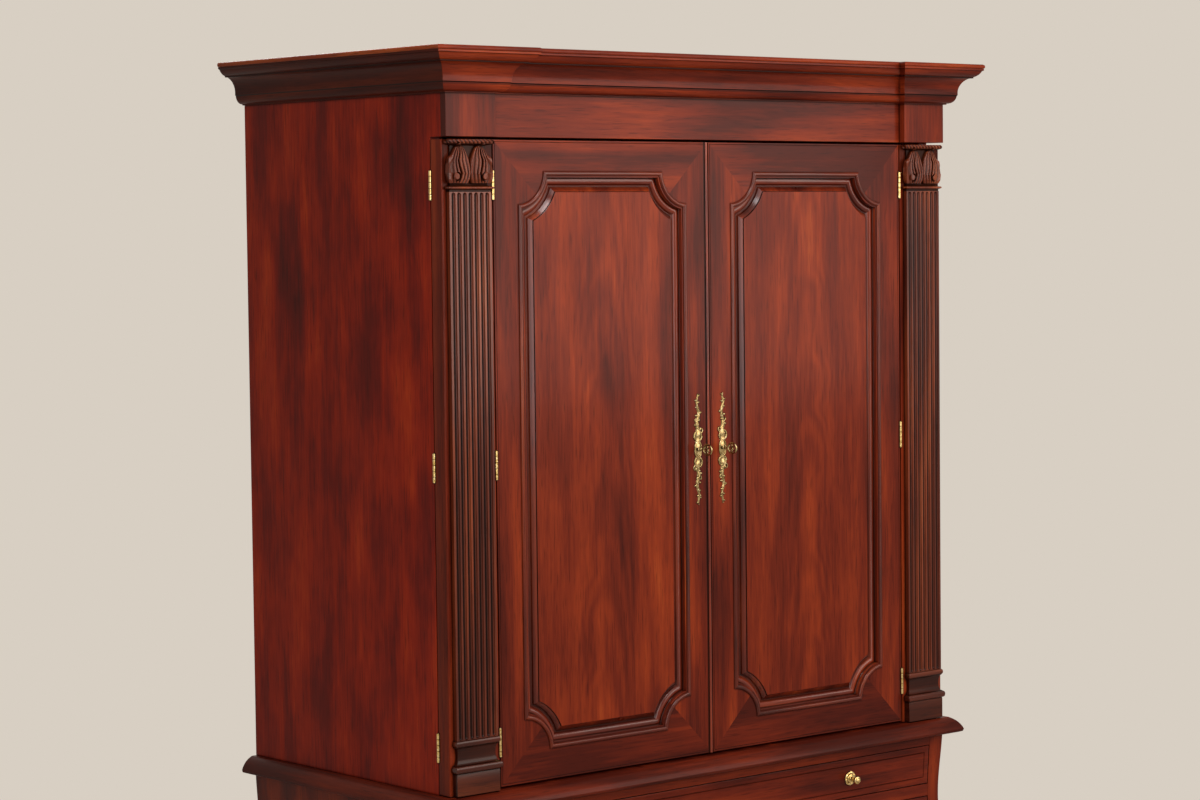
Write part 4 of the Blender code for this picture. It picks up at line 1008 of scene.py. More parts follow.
# How far the ground below the carving stands out, from the capital's foot to its top.
CAPITAL_GROUND = [(0.0, -0.10), (0.045, -0.10), (0.055, 0.45), (0.075, 0.75), (0.098, 0.62),
                  (0.108, -0.20), (0.125, -0.70), (0.17, -0.90), (0.60, -0.95), (0.885, -1.10),
                  (0.905, 0.20), (0.92, 0.72), (0.955, 0.90), (0.985, 0.70), (1.0, 0.50)]
LEAF_FOOT, LEAF_HEIGHT, LEAF_HALF = 15 * MM, 70 * MM, 28 * MM
LEAF_CENTRE = 26 * MM
LEAF_OUTLINE = [(0.0, 0.80), (0.10, 0.93), (0.28, 1.0), (0.45, 0.96), (0.61, 0.84),
                (0.75, 0.66), (0.85, 0.48), (0.93, 0.29), (1.0, 0.05)]
LEAF_SWELL = [(0.0, 0.62), (0.10, 0.88), (0.25, 1.0), (0.45, 0.92), (0.70, 0.78),
              (0.90, 0.72), (1.0, 0.60)]
LEAF_VEIN = [(0.0, 0.12), (0.10, 0.02), (0.24, -0.08), (0.42, 0.10), (0.58, 0.20),
             (0.72, 0.06), (0.86, 0.0), (1.0, 0.0)]
LEAF_RIBS = 3                 # ribs on each side of the vein
CURL_PLACE = (0.34, 0.17)     # the curl beside the vein's foot, as shares across and up
CURL_RADIUS = 7 * MM
LEAF_PROUD = 10.8 * MM
LOZENGE_FOOT = 84.5 * MM
LOZENGE_PITCH, LOZENGE_SLANT, LOZENGE_DEPTH = 8 * MM, 15 * MM, 2.4 * MM
CAPITAL_ROWS, CAPITAL_COLUMNS = 150, 190


def leaf_relief(across, up, hand):
    """How far a leaf stands above its ground, as a share, and the painted shade and glaze there.
    """
    s = (up - LEAF_FOOT) / LEAF_HEIGHT
    if not 0.0 <= s < 1.0:
        return 0.0, 0.9
    half = LEAF_HALF * lookup(LEAF_OUTLINE, s)
    t = (across * hand - LEAF_CENTRE) / half
    if abs(t) >= 1.0:
        return 0.0, 0.9
    vein = lookup(LEAF_VEIN, s)
    fold = (t - vein) / (1 - vein if t > vein else 1 + vein)
    valley = (0.5 + 0.5 * math.cos(math.tau * LEAF_RIBS * fold)) ** 2.2
    centre = math.exp(-(fold / 0.085) ** 2) * min(1.0, s / 0.12) * min(1.0, (1 - s) / 0.15)
    curl = math.hypot((t - CURL_PLACE[0]) * half, (s - CURL_PLACE[1]) * LEAF_HEIGHT)
    curl /= CURL_RADIUS
    if curl < 1.25:
        turn = math.atan2(s - CURL_PLACE[1], t - CURL_PLACE[0])
        ring = max(0.0, 1 - ((curl - 1.0) / 0.24) ** 2) * (0.55 - 0.45 * math.cos(turn - 0.6))
        valley, centre = ring, 0.8 * ring
    height = lookup(LEAF_SWELL, s) * ((1 - 0.30 * valley) * (1 - t * t) ** 0.16 - 0.30 * centre)
    rim = max(0.0, (abs(t) - 0.93) / 0.07)
    return height, max(0.10, 0.62 * valley, min(1.0, 1.3 * centre), 0.8 * rim)


def capital_relief(across, up):
    """Height of the carving above its ground in metres, and the painted shade and glaze there."""
    if up > LOZENGE_FOOT:
        slant = math.sin(math.tau * (across / LOZENGE_PITCH
                                     + (up - LOZENGE_FOOT) / LOZENGE_SLANT))
        low = (0.5 - 0.5 * slant) ** 1.8
        return -LOZENGE_DEPTH * low, 0.75 * low
    # Below the leaves the ground gets painted shade, except on the astragal.
    if up < LEAF_FOOT - 0.5 * MM:
        return 0.0, 0.0 if 4.8 * MM < up < 9.2 * MM else 0.9
    height, glaze_and_shade = max(leaf_relief(across, up, -1), leaf_relief(across, up, 1))
    return LEAF_PROUD * height, glaze_and_shade


def carve_capital(name, side):
    """A capital as a fine grid over its face and its two short sides."""
    middle = side * SHAFT_MIDDLE
    half, depth = SHAFT_WIDTH / 2, SHAFT_PROUD
    rows, glaze_and_shade_rows = [], []
    for up in spread(0.0, CAPITAL_HEIGHT, CAPITAL_ROWS):
        out = ORNAMENT_PROUD * lookup(CAPITAL_GROUND, up / CAPITAL_HEIGHT)
        reach, z = half + out, capital_low.z + up
        row, glaze_and_shade_row = [(middle - reach, FRONT, z)], [0.5]
        for share in spread(-1.0, 1.0, CAPITAL_COLUMNS):
            unrolled = share * (half + depth)
            relief, glaze_and_shade = capital_relief(unrolled, up)
            x = max(-reach, min(reach, unrolled * reach / half))
            y = FRONT - depth - out
            if abs(unrolled) > half:
                y += (depth + out) * (abs(unrolled) - half) / depth * 0.98
                x = math.copysign(reach + min(relief, ORNAMENT_PROUD - out), unrolled)
            else:
                y -= min(relief, ORNAMENT_PROUD + 0.6 * MM - out)
                inner = min(1.0, (half - abs(unrolled)) / (2 * MM))
                x += math.copysign(min(relief, ORNAMENT_PROUD - out) * (1 - inner), unrolled)
            row.append((middle + x, y, z))
            glaze_and_shade_row.append(glaze_and_shade)
        rows.append(row + [(middle + reach, FRONT, z)])
        glaze_and_shade_rows.append(glaze_and_shade_row + [0.5])
    Shape().skin(rows, board=112.5 + side, glaze_and_shade=lambda i, j: glaze_and_shade_rows[i][j]).make(
        f"capital_{name}", carved, f"pilaster_{name}", [f"pilaster_capital_{name}"],
        smooth=60)


PLINTH = 40 * MM              # height of the base's plain foot
BASE_GLAZE_AND_SHADE = {0: 0.5, 1: 0.7, 2: 0.9, 13: 0.9, 28: 0.9}     # painted shade and glaze in the base's quirks


def half_round(low, high, flat, full, steps):
    """A bead or a hollow between two heights, as (out, up) points."""
    return [(flat + (full - flat) * math.sin(a), low + (high - low) * (1 - math.cos(a)) / 2)
            for a in spread(0.0, math.pi, steps)]


def base_section():
    """A base's section: plinth, bead, hollow and smaller bead, as (out, up) points."""
    mouldings = (half_round(0.017, 0.225, 0.50, 1.0, 10) + half_round(0.25, 0.80, 0.15, -0.67, 14)
                 + half_round(0.82, 0.99, 0.15, 0.50, 6))
    return [(1.8 * MM, 0.0), (1.8 * MM, PLINTH - 1.6 * MM), (0.9 * MM, PLINTH)] + [
        (out, PLINTH + up)
        for out, up in scaled(mouldings, ORNAMENT_PROUD, BASE_HEIGHT - PLINTH)]


def turn_base(name, side):
    """The moulded base below a shaft."""
    near, far = [side * SHAFT_MIDDLE + way * SHAFT_WIDTH / 2 for way in (-1, 1)]
    rows = []
    for out, up in base_section():
        front, z = FRONT - SHAFT_PROUD - out, base_low.z + up
        rows.append([(near - out, FRONT, z), (near - out, front, z), (far + out, front, z),
                     (far + out, FRONT, z)])
    # The hollow between the beads gets painted shade as well.
    Shape().skin(rows, grain=lambda i, j: CASE_RUNS[j],
                 board=lambda i, j: 120.3 + 5 * side + j,
                 glaze_and_shade=lambda i, j: BASE_GLAZE_AND_SHADE.get(i, 0.55 if 13 < i < 28 else 0.12)).make(
        f"base_{name}", carved, f"pilaster_{name}", [f"pilaster_base_{name}"],
        smooth=30, soft=0.4 * MM)


for name, side in SIDES.items():
    carve_capital(name, side)
    turn_base(name, side)
print("capital", round(CAPITAL_HEIGHT / MM), "mm high, base", round(BASE_HEIGHT / MM), "mm")

# %% [markdown]
# ## Hinges
# The hinges are solid drawn brass butts with five knuckles. Three knuckles belong to one leaf
# and two to the other, and a pin with a rounded head runs through them. Each leaf moves with
# the wood that it is screwed to, so the knuckles are shared out between two bodies.

# %% Hinges
LEAF_THICK = 0.9 * MM
LEAF_WIDTH = 18 * MM
KNUCKLES = 5
KNUCKLE_GAP = 0.15 * MM       # at each end of a knuckle
CHAMFER, CHAMFER_RADIUS = 0.4 * MM, 2.5 * MM
PIN_HEAD = [(0.0, 1.9), (0.25, 1.8), (0.45, 1.3), (0.55, 0.5)]    # (beyond the end, radius), mm


def hinge_part(axis, level, which, leaf, pinned):
    """The chosen knuckles of a hinge with their leaf, and the pin's two heads."""
    shape = Shape()
    pitch = HINGE_LENGTH / KNUCKLES
    for k in which:
        low = level - HINGE_LENGTH / 2 + k * pitch + KNUCKLE_GAP
        high = low + pitch - 2 * KNUCKLE_GAP
        lathe(shape, (*axis, 0.0), [(low, CHAMFER_RADIUS), (low + CHAMFER, HINGE_RADIUS),
                                    (high - CHAMFER, HINGE_RADIUS), (high, CHAMFER_RADIUS)], 24)
    for way in (-1, 1) if pinned else ():
        end = level + way * (HINGE_LENGTH / 2 - KNUCKLE_GAP)
        lathe(shape, (*axis, 0.0), [(end + way * out * MM, radius * MM)
                                    for out, radius in PIN_HEAD], 16)
    reach = HINGE_LENGTH / 2 - 0.1 * MM
    return plank(shape, *leaf, (level - reach, level + reach))


def make_hinges(name, side):
    """The door's hinges and the pilaster's hinges on one side."""
    inner, outer = side * PILASTER_INNER, side * DOOR_OUTER
    door_y = (FRONT, FRONT + LEAF_WIDTH)
    case_x = (side * (HALF_WIDTH - LEAF_WIDTH), side * HALF_WIDTH)
    pilaster = f"pilaster_{name}"
    kinds = [
        ("door", DOOR_AXIS, pilaster, ((inner, inner - side * LEAF_THICK), door_y),
         f"door_{name}", ((outer, outer + side * LEAF_THICK), door_y)),
        ("case", CASE_AXIS, "case", (case_x, (CASE_FRONT - LEAF_THICK, CASE_FRONT - HAIR)),
         pilaster, (case_x, (stile_high.y + HAIR, stile_high.y + LEAF_THICK))),
    ]
    for level_name, level in hinge_levels.items():
        for kind, axis, fixed_body, fixed_leaf, moving_body, moving_leaf in kinds:
            axis = (side * axis[0], axis[1])
            node = f"{kind}_hinge_{name}_{level_name}"
            piece = f"hinge_{kind}_{name}_{level_name}"
            hinge_part(axis, level, (0, 2, 4), fixed_leaf, True).make(
                piece, brass, fixed_body, [node], smooth=30)
            hinge_part(axis, level, (1, 3), moving_leaf, False).make(
                f"{piece}_leaf", brass, moving_body, [node], smooth=30)


for name, side in SIDES.items():
    make_hinges(name, side)
print("hinges:", 4 * len(hinge_levels), "with", KNUCKLES, "knuckles each")

# %% [markdown]
# ## Escutcheons and keys
# The keyhole plates are thin brass castings of leaves and scrolls, nearly symmetrical from
# door to door. A thin body carries them, and a cast scroll is a wire that swells and tapers,
# so each is built as a line of points with a thickness at every point, smoothed and skinned
# as a flattened round bar that lies on the door. The keys have pierced bows, modelled as rings
# round the end of a shank.

# %% Scroll builder
PLATE_SPREAD = 1.22           # the plate's scrolls stand this much wider than they are drawn
LEAF_TAPER = [(0.0, 0.35), (0.2, 0.8), (0.45, 1.0), (0.7, 0.75), (0.9, 0.35), (1.0, 0.12)]


def smoothed(points, steps=6):
    """A smooth line through control points of any length, ends included."""
    line = []
    padded = [points[0]] + list(points) + [points[-1]]
    for corners in zip(padded, padded[1:], padded[2:], padded[3:]):
        for i in range(steps):
            t = i / steps
            line.append(tuple(
                0.5 * (2 * q + (r - p) * t + (2 * p - 5 * q + 4 * r - s) * t * t
                       + (3 * q - p - 3 * r + s) * t ** 3)
                for p, q, r, s in zip(*corners)))
    return line + [tuple(points[-1])]


def on_plate(place, side, x, out, z):
    """A point of the plate from millimetres across, out and up."""
    return (place[0] + side * x * PLATE_SPREAD * MM, place[1] - max(0.0, out) * MM,
            place[2] + z * MM)


def stroke(shape, points, place, side, lift=0.0, height=1.05):
    """Add a tapered cast scroll; points are (across, up, radius) in millimetres."""
    line = smoothed(points)
    rows = []
    for i, (x, z, radius) in enumerate(line):
        ahead, behind = line[min(i + 1, len(line) - 1)], line[max(i - 1, 0)]
        way = Vector((ahead[0] - behind[0], ahead[1] - behind[1]))
        way = way.normalized() if way.length > 1e-6 else Vector((0, 1))
        row = []
        for off, out, _ in circle((0.0, 0.0, 0.0), radius, radius, 10):
            row.append(on_plate(place, side, x + way.y * off, 0.6 + height * out + lift,
                                z - way.x * off))
        rows.append(row)
    return shape.skin(rows)


def leaf_stroke(shape, x, z, angle, length, width, place, side, curl=0.0):
    """Add a pointed leaf that starts at a point and leans by an angle in degrees."""
    points = []
    for share, wide in LEAF_TAPER:
        lean = math.radians(angle + curl * share)
        points.append((x + length * share * math.sin(lean), z + length * share * math.cos(lean),
                       max(0.25, width * wide / 2)))
    return stroke(shape, points, place, side, 0.2)


print("smoothed line:", len(smoothed([(0, 0), (1, 1), (2, 0)])), "points")

# %% Escutcheons
STEMS = [
    [(0.3, 104.0, 0.5), (0.2, 101.0, 0.9), (0.9, 96.0, 0.8), (2.1, 90.0, 1.0),
     (1.6, 83.0, 1.2), (-0.6, 76.0, 1.1), (-2.4, 69.0, 1.2), (-1.6, 61.0, 1.3),
     (1.2, 54.0, 1.2), (2.6, 47.0, 1.3), (1.2, 40.0, 1.3), (-3.2, 34.0, 1.4),
     (-6.0, 27.0, 1.5), (-6.4, 20.0, 1.4), (-3.6, 16.2, 1.2)],
    [(3.2, 16.0, 1.1), (6.6, 19.5, 1.5), (7.9, 25.0, 1.5), (6.4, 31.0, 1.3), (3.0, 33.4, 1.1),
     (0.8, 30.6, 0.9), (2.2, 27.4, 0.9), (4.4, 28.4, 1.1)],
    [(-6.2, 30.0, 1.0), (-8.9, 33.0, 1.0), (-9.2, 37.4, 0.9), (-6.8, 39.0, 0.9),
     (-5.6, 36.4, 1.1)],
    [(2.6, 50.0, 0.9), (5.6, 52.4, 1.0), (6.0, 56.4, 0.9), (3.8, 57.8, 1.1)],
    [(-2.2, 66.0, 0.8), (-4.8, 67.6, 0.9), (-5.0, 71.2, 0.8), (-3.2, 72.2, 1.0)],
    [(1.8, 86.0, 0.7), (3.9, 86.6, 0.8), (4.1, 89.6, 0.9)],
]
BODY = [(0.3, 103.5, 0.9), (0.3, 100.0, 1.6), (0.9, 95.0, 2.1), (1.8, 89.0, 2.4),
        (1.2, 83.0, 2.2), (-0.4, 76.5, 2.9), (-1.8, 69.5, 2.6), (-1.2, 62.0, 3.2),
        (0.8, 55.0, 3.0), (1.5, 48.0, 4.0), (0.7, 41.5, 3.6), (-1.0, 35.0, 5.2),
        (-0.6, 28.0, 6.2), (0.0, 21.5, 5.2), (0.0, 14.0, 6.0)]
LEAVES = [
    (0.2, 99.0, -28, 8.0, 2.2, -26), (1.9, 91.0, 42, 7.0, 2.4, 30),
    (-0.4, 77.0, 36, 8.4, 3.4, 34), (-2.2, 68.0, -52, 7.8, 3.2, -30),
    (0.4, 62.0, 40, 8.0, 3.2, 40), (1.0, 87.0, -40, 7.0, 2.8, -30),
    (1.6, 53.0, -44, 9.0, 3.8, -30), (2.4, 45.0, 58, 7.6, 3.4, 30),
    (-2.6, 35.0, -66, 8.4, 3.0, 50), (-0.4, 38.0, 24, 9.2, 3.2, 34),
    (-5.6, 22.0, -82, 5.4, 2.6, 44), (6.8, 22.0, 86, 4.2, 2.4, -44),
]
TIP_BEAD = [(102.6, 0.4), (103.2, 1.0), (104.0, 1.15), (104.6, 0.8), (104.9, 0.3)]
CARTOUCHE_RINGS = [(7.0, 15.0, 1.25), (4.7, 11.6, 0.7)]     # half width, half height, wire
RING_LIFT = 0.9
LOWER_SHRINK = 0.985          # the lower half of a plate is this much shorter
LEAF_SHORTER, LEAF_WIDER = 0.78, 1.3


def make_escutcheon(name, side):
    """One cast plate: an oval cartouche round the keyhole, with leafy scrolls up and down."""
    place = (side * KEY_X, FRONT - HAIR, KEY_Z)
    shape = Shape()
    for way, reach in ((1, 1.0), (-1, -LOWER_SHRINK)):
        for points, lift, height in [(BODY, -0.4, 0.28)] + [(stem, 0.0, 1.05) for stem in STEMS]:
            stroke(shape, [(x * way, z * reach, r) for x, z, r in points], place, side, lift,
                   height)
        for x, z, angle, length, width, curl in LEAVES:
            leaf_stroke(shape, x * way, z * reach, angle if way > 0 else 180 + angle,
                        LEAF_SHORTER * length, LEAF_WIDER * width, place, side, curl)
        stroke(shape, [(0.3 * way, z * way, r) for z, r in TIP_BEAD], place, side, 0.4)
    for half_x, half_z, wire in CARTOUCHE_RINGS:
        rows = []
        for k in range(48):
            angle = math.tau * k / 48
            waist = 1.0 - 0.16 * math.cos(2 * angle) ** 2
            x, z = half_x * math.cos(angle) * waist, half_z * math.sin(angle)
            way = Vector((math.cos(angle), math.sin(angle) * half_x / half_z)).normalized()
            rows.append([on_plate(place, side, x + way.x * off, RING_LIFT + out,
                                  z + way.y * off)
                         for off, out, _ in circle((0.0, 0.0, 0.0), wire, wire, 8)])
        shape.skin(rows, closed=True, caps=False)
    shape.skin([circle((place[0], place[1] - out * MM, place[2]), side * 7.4 * grow * MM,
                       14.2 * grow * MM, 40, axis=1)
                for out, grow in ((0.0, 1.0), (0.9, 1.0), (1.2, 0.9))])
    shape.make(f"escutcheon_{name}_casting", aged_brass, f"door_{name}", [f"escutcheon_{name}"],
               smooth=50)


BOW_OUT = 12 * MM             # where the bow's middle stands beyond the plate
SHANK = [(0.6, 2.4), (-1.0, 2.4), (-1.4, 3.3), (-2.4, 3.5), (-3.2, 2.6), (-6.5, 2.1),
         (-7.0, 2.9), (-8.2, 2.9), (-8.8, 2.0)]     # (place, radius) in mm, out of the keyhole
# The bow and the three rings in it: place along and up, half length, half height, wire.
BOW_RINGS = [(-12.2, 0.0, 11.4, 9.6, 1.7), (-8.4, 4.8, 3.7, 3.5, 1.2),
             (-8.4, -4.8, 3.7, 3.5, 1.2), (-17.6, 0.0, 4.4, 3.8, 1.2)]


def make_key(name, side):
    """A key with an oval bow that holds three small rings, and a ringed shank."""
    x, z = side * KEY_X, KEY_Z
    front = FRONT - 2.5 * MM
    head = front - GAP - BOW_OUT
    profile = [(DOOR_BACK + 7 * MM, 2.4 * MM)]
    profile += [(front + along * MM, radius * MM) for along, radius in SHANK]
    shape = lathe(Shape(), (x, 0.0, z), profile + [(head, 1.7 * MM)], 24, axis=1)
    for y, up, long, tall, wire in BOW_RINGS:
        rows = []
        for k in range(28):
            cos, sin = math.cos(math.tau * k / 28), math.sin(math.tau * k / 28)
            way = Vector((cos / long, sin / tall)).normalized()
            rows.append([(x + rim * MM, head + (y + long * cos + way.x * off) * MM,
                          z + (up + tall * sin + way.y * off) * MM)
                         for off, rim, _ in circle((0.0, 0.0, 0.0), wire, wire, 10)])
        shape.skin(rows, closed=True, caps=False)
    shape.make(f"key_{name}_casting", aged_brass, f"key_{name}", [f"key_{name}"], smooth=50)


def make_lock_case(name, side):
    """The steel lock case on the back of a door, with its four screws."""
    node = f"lock_case_{name}"
    x, y, z = limits(node)
    cased = plank(Shape(), x, y, z).make(f"{node}_box", steel, f"door_{name}", [node])
    cut(cased, rod(Shape(), (side * KEY_X, y[0], KEY_Z), 1, KEYHOLE_RADIUS, 60 * MM))
    soften(cased, 1.0 * MM)
    screws = Shape()
    for sx in (-15, 15):
        for sz in (-26, 26):
            rod(screws, (side * KEY_X + sx * MM, y[1] + 0.5 * MM, KEY_Z + sz * MM), 1, 3.2 * MM,
                1.2 * MM)
    screws.make(f"{node}_screws", steel, f"door_{name}", [node], smooth=30, soft=0.3 * MM)


for name, side in SIDES.items():
    make_escutcheon(name, side)
    make_key(name, side)
    make_lock_case(name, side)
print("escutcheons", round((PLATE_TOP - PLATE_BOTTOM) / MM), "mm long")

# %% [markdown]
# ## The swelling chest
# The lower part is bombe: its front and sides swell out and draw in again below the waist. A
# maker would saw thick boards to the curve and veneer over them. The curve is one function of
# height, and the sides, rails and drawer fronts all read it, so that they meet everywhere.

# %% Swell and chest sides
CHEST_TOP = chest_high.z + GAP
frame_low, frame_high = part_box("base_frame")
CHEST_BOTTOM = frame_high.z
CHEST_HALF = HALF_WIDTH + 2 * MM
CHEST_FRONT = FRONT - 2 * MM
OPENING_HALF = CHEST_HALF - 37 * MM
NARROW = CHEST_TOP - 123 * MM             # height of the narrowest place
BELLY_HEIGHT = 330 * MM                   # height of the fullest place
WAIST_IN, WAIST_RISE, WAIST_CURVE = 6.5 * MM, 7.2 * MM, 150 * MM
BELLY_OUT, BELLY_FOOT_OUT = 45 * MM, 8 * MM


def ease(share):
    """A half wave from 0 to 1."""
    return (1 - math.cos(math.pi * share)) / 2


def swell(level):
    """How far the chest stands out beyond its top at a height above the floor."""
    if level >= NARROW:
        return -WAIST_IN + WAIST_RISE * ease((level - NARROW) / WAIST_CURVE)
    if level >= BELLY_HEIGHT:
        return -WAIST_IN + (BELLY_OUT + WAIST_IN) * ease((NARROW - level)
                                                         / (NARROW - BELLY_HEIGHT))
    angle = math.pi / 2 * (BELLY_HEIGHT - level) / (BELLY_HEIGHT - CHEST_BOTTOM)
    return BELLY_OUT - (BELLY_OUT - BELLY_FOOT_OUT) * (1 - math.cos(angle))


def moulded_frame(name, section, half, front, bottom, node, number, glaze_and_shade=0.0):
    """A mitred frame with a moulded edge on its front and sides."""
    rows = [[(-half - out, BACK, bottom + up), (-half - out, front - out, bottom + up),
             (half + out, front - out, bottom + up), (half + out, BACK, bottom + up)]
            for out, up in section]
    Shape().skin(rows, grain=lambda i, j: CASE_RUNS[j], board=lambda i, j: number + j,
                 glaze_and_shade=glaze_and_shade).make(name, polished, "case", [node], smooth=26, soft=0.5 * MM)


def swelling_rail(name, low, high, steps, back, node, number):
    """A rail across the chest whose face follows the swell; back gives its rear corners."""
    face = [(CHEST_FRONT - swell(z), z) for z in spread(low, high, steps)]
    section = face + back(max(y for y, _ in face))
    rows = [[(x, y, z) for y, z in section] for x in (GAP - OPENING_HALF, OPENING_HALF - GAP)]
    Shape().skin(rows, grain=ALONG_X, board=number).make(
        name, polished, "case", [node], smooth=20, soft=0.5 * MM)


def make_chest():
    """Sides, back, waist moulding, rails and bottom frame of the chest."""
    for name, side in SIDES.items():
        inner = side * OPENING_HALF
        rows = []
        for z in spread(chest_low.z, chest_high.z, 72):
            outer, front = side * (CHEST_HALF + swell(z)), CHEST_FRONT - swell(z)
            rows.append([(outer, front, z), (inner, front, z), (inner, BACK, z),
                         (outer, BACK, z)])
        Shape().skin(rows, board=132.45 + 2 * side).make(
            f"chest_side_{name}", polished, "case", [f"lower_side_{name}"],
            smooth=30, soft=0.8 * MM)
    back_boards("chest_back_boards", "lower_back", 140.2)
    section = [(0.22, 1.0), (0.29, 0.985)] + bow((0.31, 0.97), (1.0, 0.30), 0.10, 14)
    section += bow((0.95, 0.17), (0.13, 0.057), 0.05, 10) + [(0.10, 0.0)]
    # The waist moulding's low stain and even glaze number paint the shade that falls on it, low on
    # the front.
    moulded_frame("waist_moulding",
                  scaled(section, waist_high.x - CHEST_HALF, waist_high.z - CHEST_TOP),
                  CHEST_HALF, CHEST_FRONT, CHEST_TOP, "waist_frame", 150.08, 0.18)
    section = bow((0.19, 1.0), (1.0, 0.57), -0.12, 10) + [
        (1.0, 0.30), (0.93, 0.27), (0.93, 0.20), (1.0, 0.17), (1.0, 0.06), (0.81, 0.0)]
    half, front = CHEST_HALF + BELLY_FOOT_OUT, CHEST_FRONT - BELLY_FOOT_OUT
    moulded_frame("chest_base_frame",
                  scaled(section, frame_high.x - half, frame_high.z - frame_low.z),
                  half, front, frame_low.z, "base_frame", 156.3)
    for name, number in (("upper", 162.3), ("lower", 164.3)):
        _, (_, rear), (low, high) = limits(f"drawer_rail_{name}")
        # A dust board 8 mm thick runs on behind each rail, level with its top.
        swelling_rail(f"chest_rail_{name}", low, high, 8,
                      lambda y: [(rear, high), (rear, high - 8 * MM),
                                 (y + 45 * MM, high - 8 * MM), (y + 45 * MM, low)],
                      f"drawer_rail_{name}", number)
    low = CHEST_TOP - 18 * MM
    swelling_rail("chest_rail_top", low, CHEST_TOP, 6,
                  lambda y: [(y + 30 * MM, CHEST_TOP), (y + 30 * MM, low)],
                  "waist_frame", 166.3)


make_chest()
print("chest from", round(CHEST_BOTTOM, 3), "to", round(CHEST_TOP, 3),
      "narrowest", round(swell(NARROW) / MM, 1), "fullest", round(swell(BELLY_HEIGHT) / MM, 1))

# %% [markdown]
# ## Feet
# The feet are ogee brackets: pairs of boards mitred at the corner, their faces curved in and
# out, with a scroll cut in the lower edge of each wing.

# %% Feet
FOOT_LENGTH = 175 * MM
FOOT_THICK = 36 * MM
FOOT_REACH = 10 * MM          # how far a foot stands out beyond the chest's lower edge
FOOT_CURVE = 7 * MM           # how far its face curves in and out


def make_foot(end_name, end, side_name, side):
    """One bracket foot."""
    top = frame_low.z - GAP
    reach = BELLY_FOOT_OUT + FOOT_REACH
    rows = []
    for z in spread(0.0, top, 36):
        up = z / top
        out = reach - FOOT_CURVE * math.sin(math.tau * up)
        wing = FOOT_LENGTH * (0.50 + 0.50 * max(0.0, (up - 0.35) / 0.65) ** 1.6
                              - 0.05 * math.sin(math.pi * up))
        x = side * (CHEST_HALF + out)
        y = BACK if end > 0 else CHEST_FRONT - out
        inner_x, inner_y = x - side * FOOT_THICK, y - end * FOOT_THICK
        rows.append([(x, y, z), (x - side * wing, y, z), (x - side * wing, inner_y, z),
                     (inner_x, inner_y, z), (inner_x, y - end * wing, z), (x, y - end * wing, z)])
    Shape().skin(rows, grain=lambda i, j: ALONG_X if j < 3 else ALONG_Y,
                 board=lambda i, j: 172.4 + 4 * side + 2 * end + (j > 2)).make(
        f"bracket_foot_{end_name}_{side_name}", polished, "case",
        [f"foot_{end_name}_{side_name}"], smooth=32, soft=0.8 * MM)


for end_name, end in (("front", -1), ("rear", 1)):
    for side_name, side in SIDES.items():
        make_foot(end_name, end, side_name, side)
print("feet", round(frame_low.z / MM), "mm high")

# %% [markdown]
# ## Drawers and knobs
# A drawer front follows the swell and has its grain across. A fine groove runs round it about
# 12 mm inside the edge. The front is a grid of points, so the groove's mitres come out by
# themselves from each point's distance to the nearest edge. The box behind is plain mahogany.
# The knobs are turned brass, on a rosette whose rim is cut into petals.

# %% Drawers
GROOVE_IN = 12 * MM
GROOVE_WIDTH = 2.4 * MM
GROOVE_DEPTH = 1.2 * MM
EDGE_ROUND, EDGE_DROP = 1.6 * MM, 0.7 * MM      # the front's rubbed edge
BOX_WALL = 12 * MM
BOX_JOINT = 0.1 * MM
# The knob's turning in mm, as (radius, out, how deep its petals are cut).
KNOB = [(14.0, 0.5, 0.0), (14.0, 1.4, 0.0), (13.4, 2.4, 1.0), (12.0, 3.2, 1.0), (10.4, 3.0, 1.0),
        (9.4, 2.6, 0.5), (8.8, 3.6, 0.0), (8.0, 4.4, 0.0), (6.2, 4.6, 0.0), (4.6, 5.2, 0.0),
        (3.6, 7.4, 0.0), (3.5, 11.0, 0.0), (4.4, 13.4, 0.0), (6.4, 15.0, 0.0), (7.9, 17.0, 0.0),
        (8.5, 19.4, 0.0), (8.2, 21.6, 0.0), (7.0, 23.2, 0.0), (5.4, 24.0, 0.0), (5.0, 23.6, 0.0),
        (4.2, 23.8, 0.0), (3.4, 25.2, 0.0), (1.8, 25.9, 0.0), (0.4, 26.0, 0.0)]


def drawer_face(half, low, high):
    """The front's grid of points with its groove, as rows from left to right."""
    marks = [0.0, 0.3 * MM, 0.8 * MM, EDGE_ROUND]
    marks += [GROOVE_IN + GROOVE_WIDTH * share for share in (0, 0.15, 0.5, 0.85, 1)]
    xs = [-half + m for m in marks] + spread(-half + 30 * MM, half - 30 * MM, 8)
    xs += [half - m for m in reversed(marks)]
    zs = [low + m for m in marks] + [high - m for m in reversed(marks)]
    zs += [z for z in spread(low, high, max(4, round((high - low) / (7 * MM))))
           if low + 16 * MM < z < high - 16 * MM]
    rows = []
    for x in xs:
        row = []
        for z in sorted(zs):
            near = min(half - abs(x), z - low, high - z)
            inside = (near - GROOVE_IN) / GROOVE_WIDTH
            depth = GROOVE_DEPTH * math.sin(math.pi * inside) if 0 < inside < 1 else 0.0
            edge = max(0.0, EDGE_ROUND - near) / EDGE_ROUND
            row.append((x, CHEST_FRONT - swell(z) + depth + EDGE_DROP * edge ** 2, z))
        rows.append(row)
    return rows


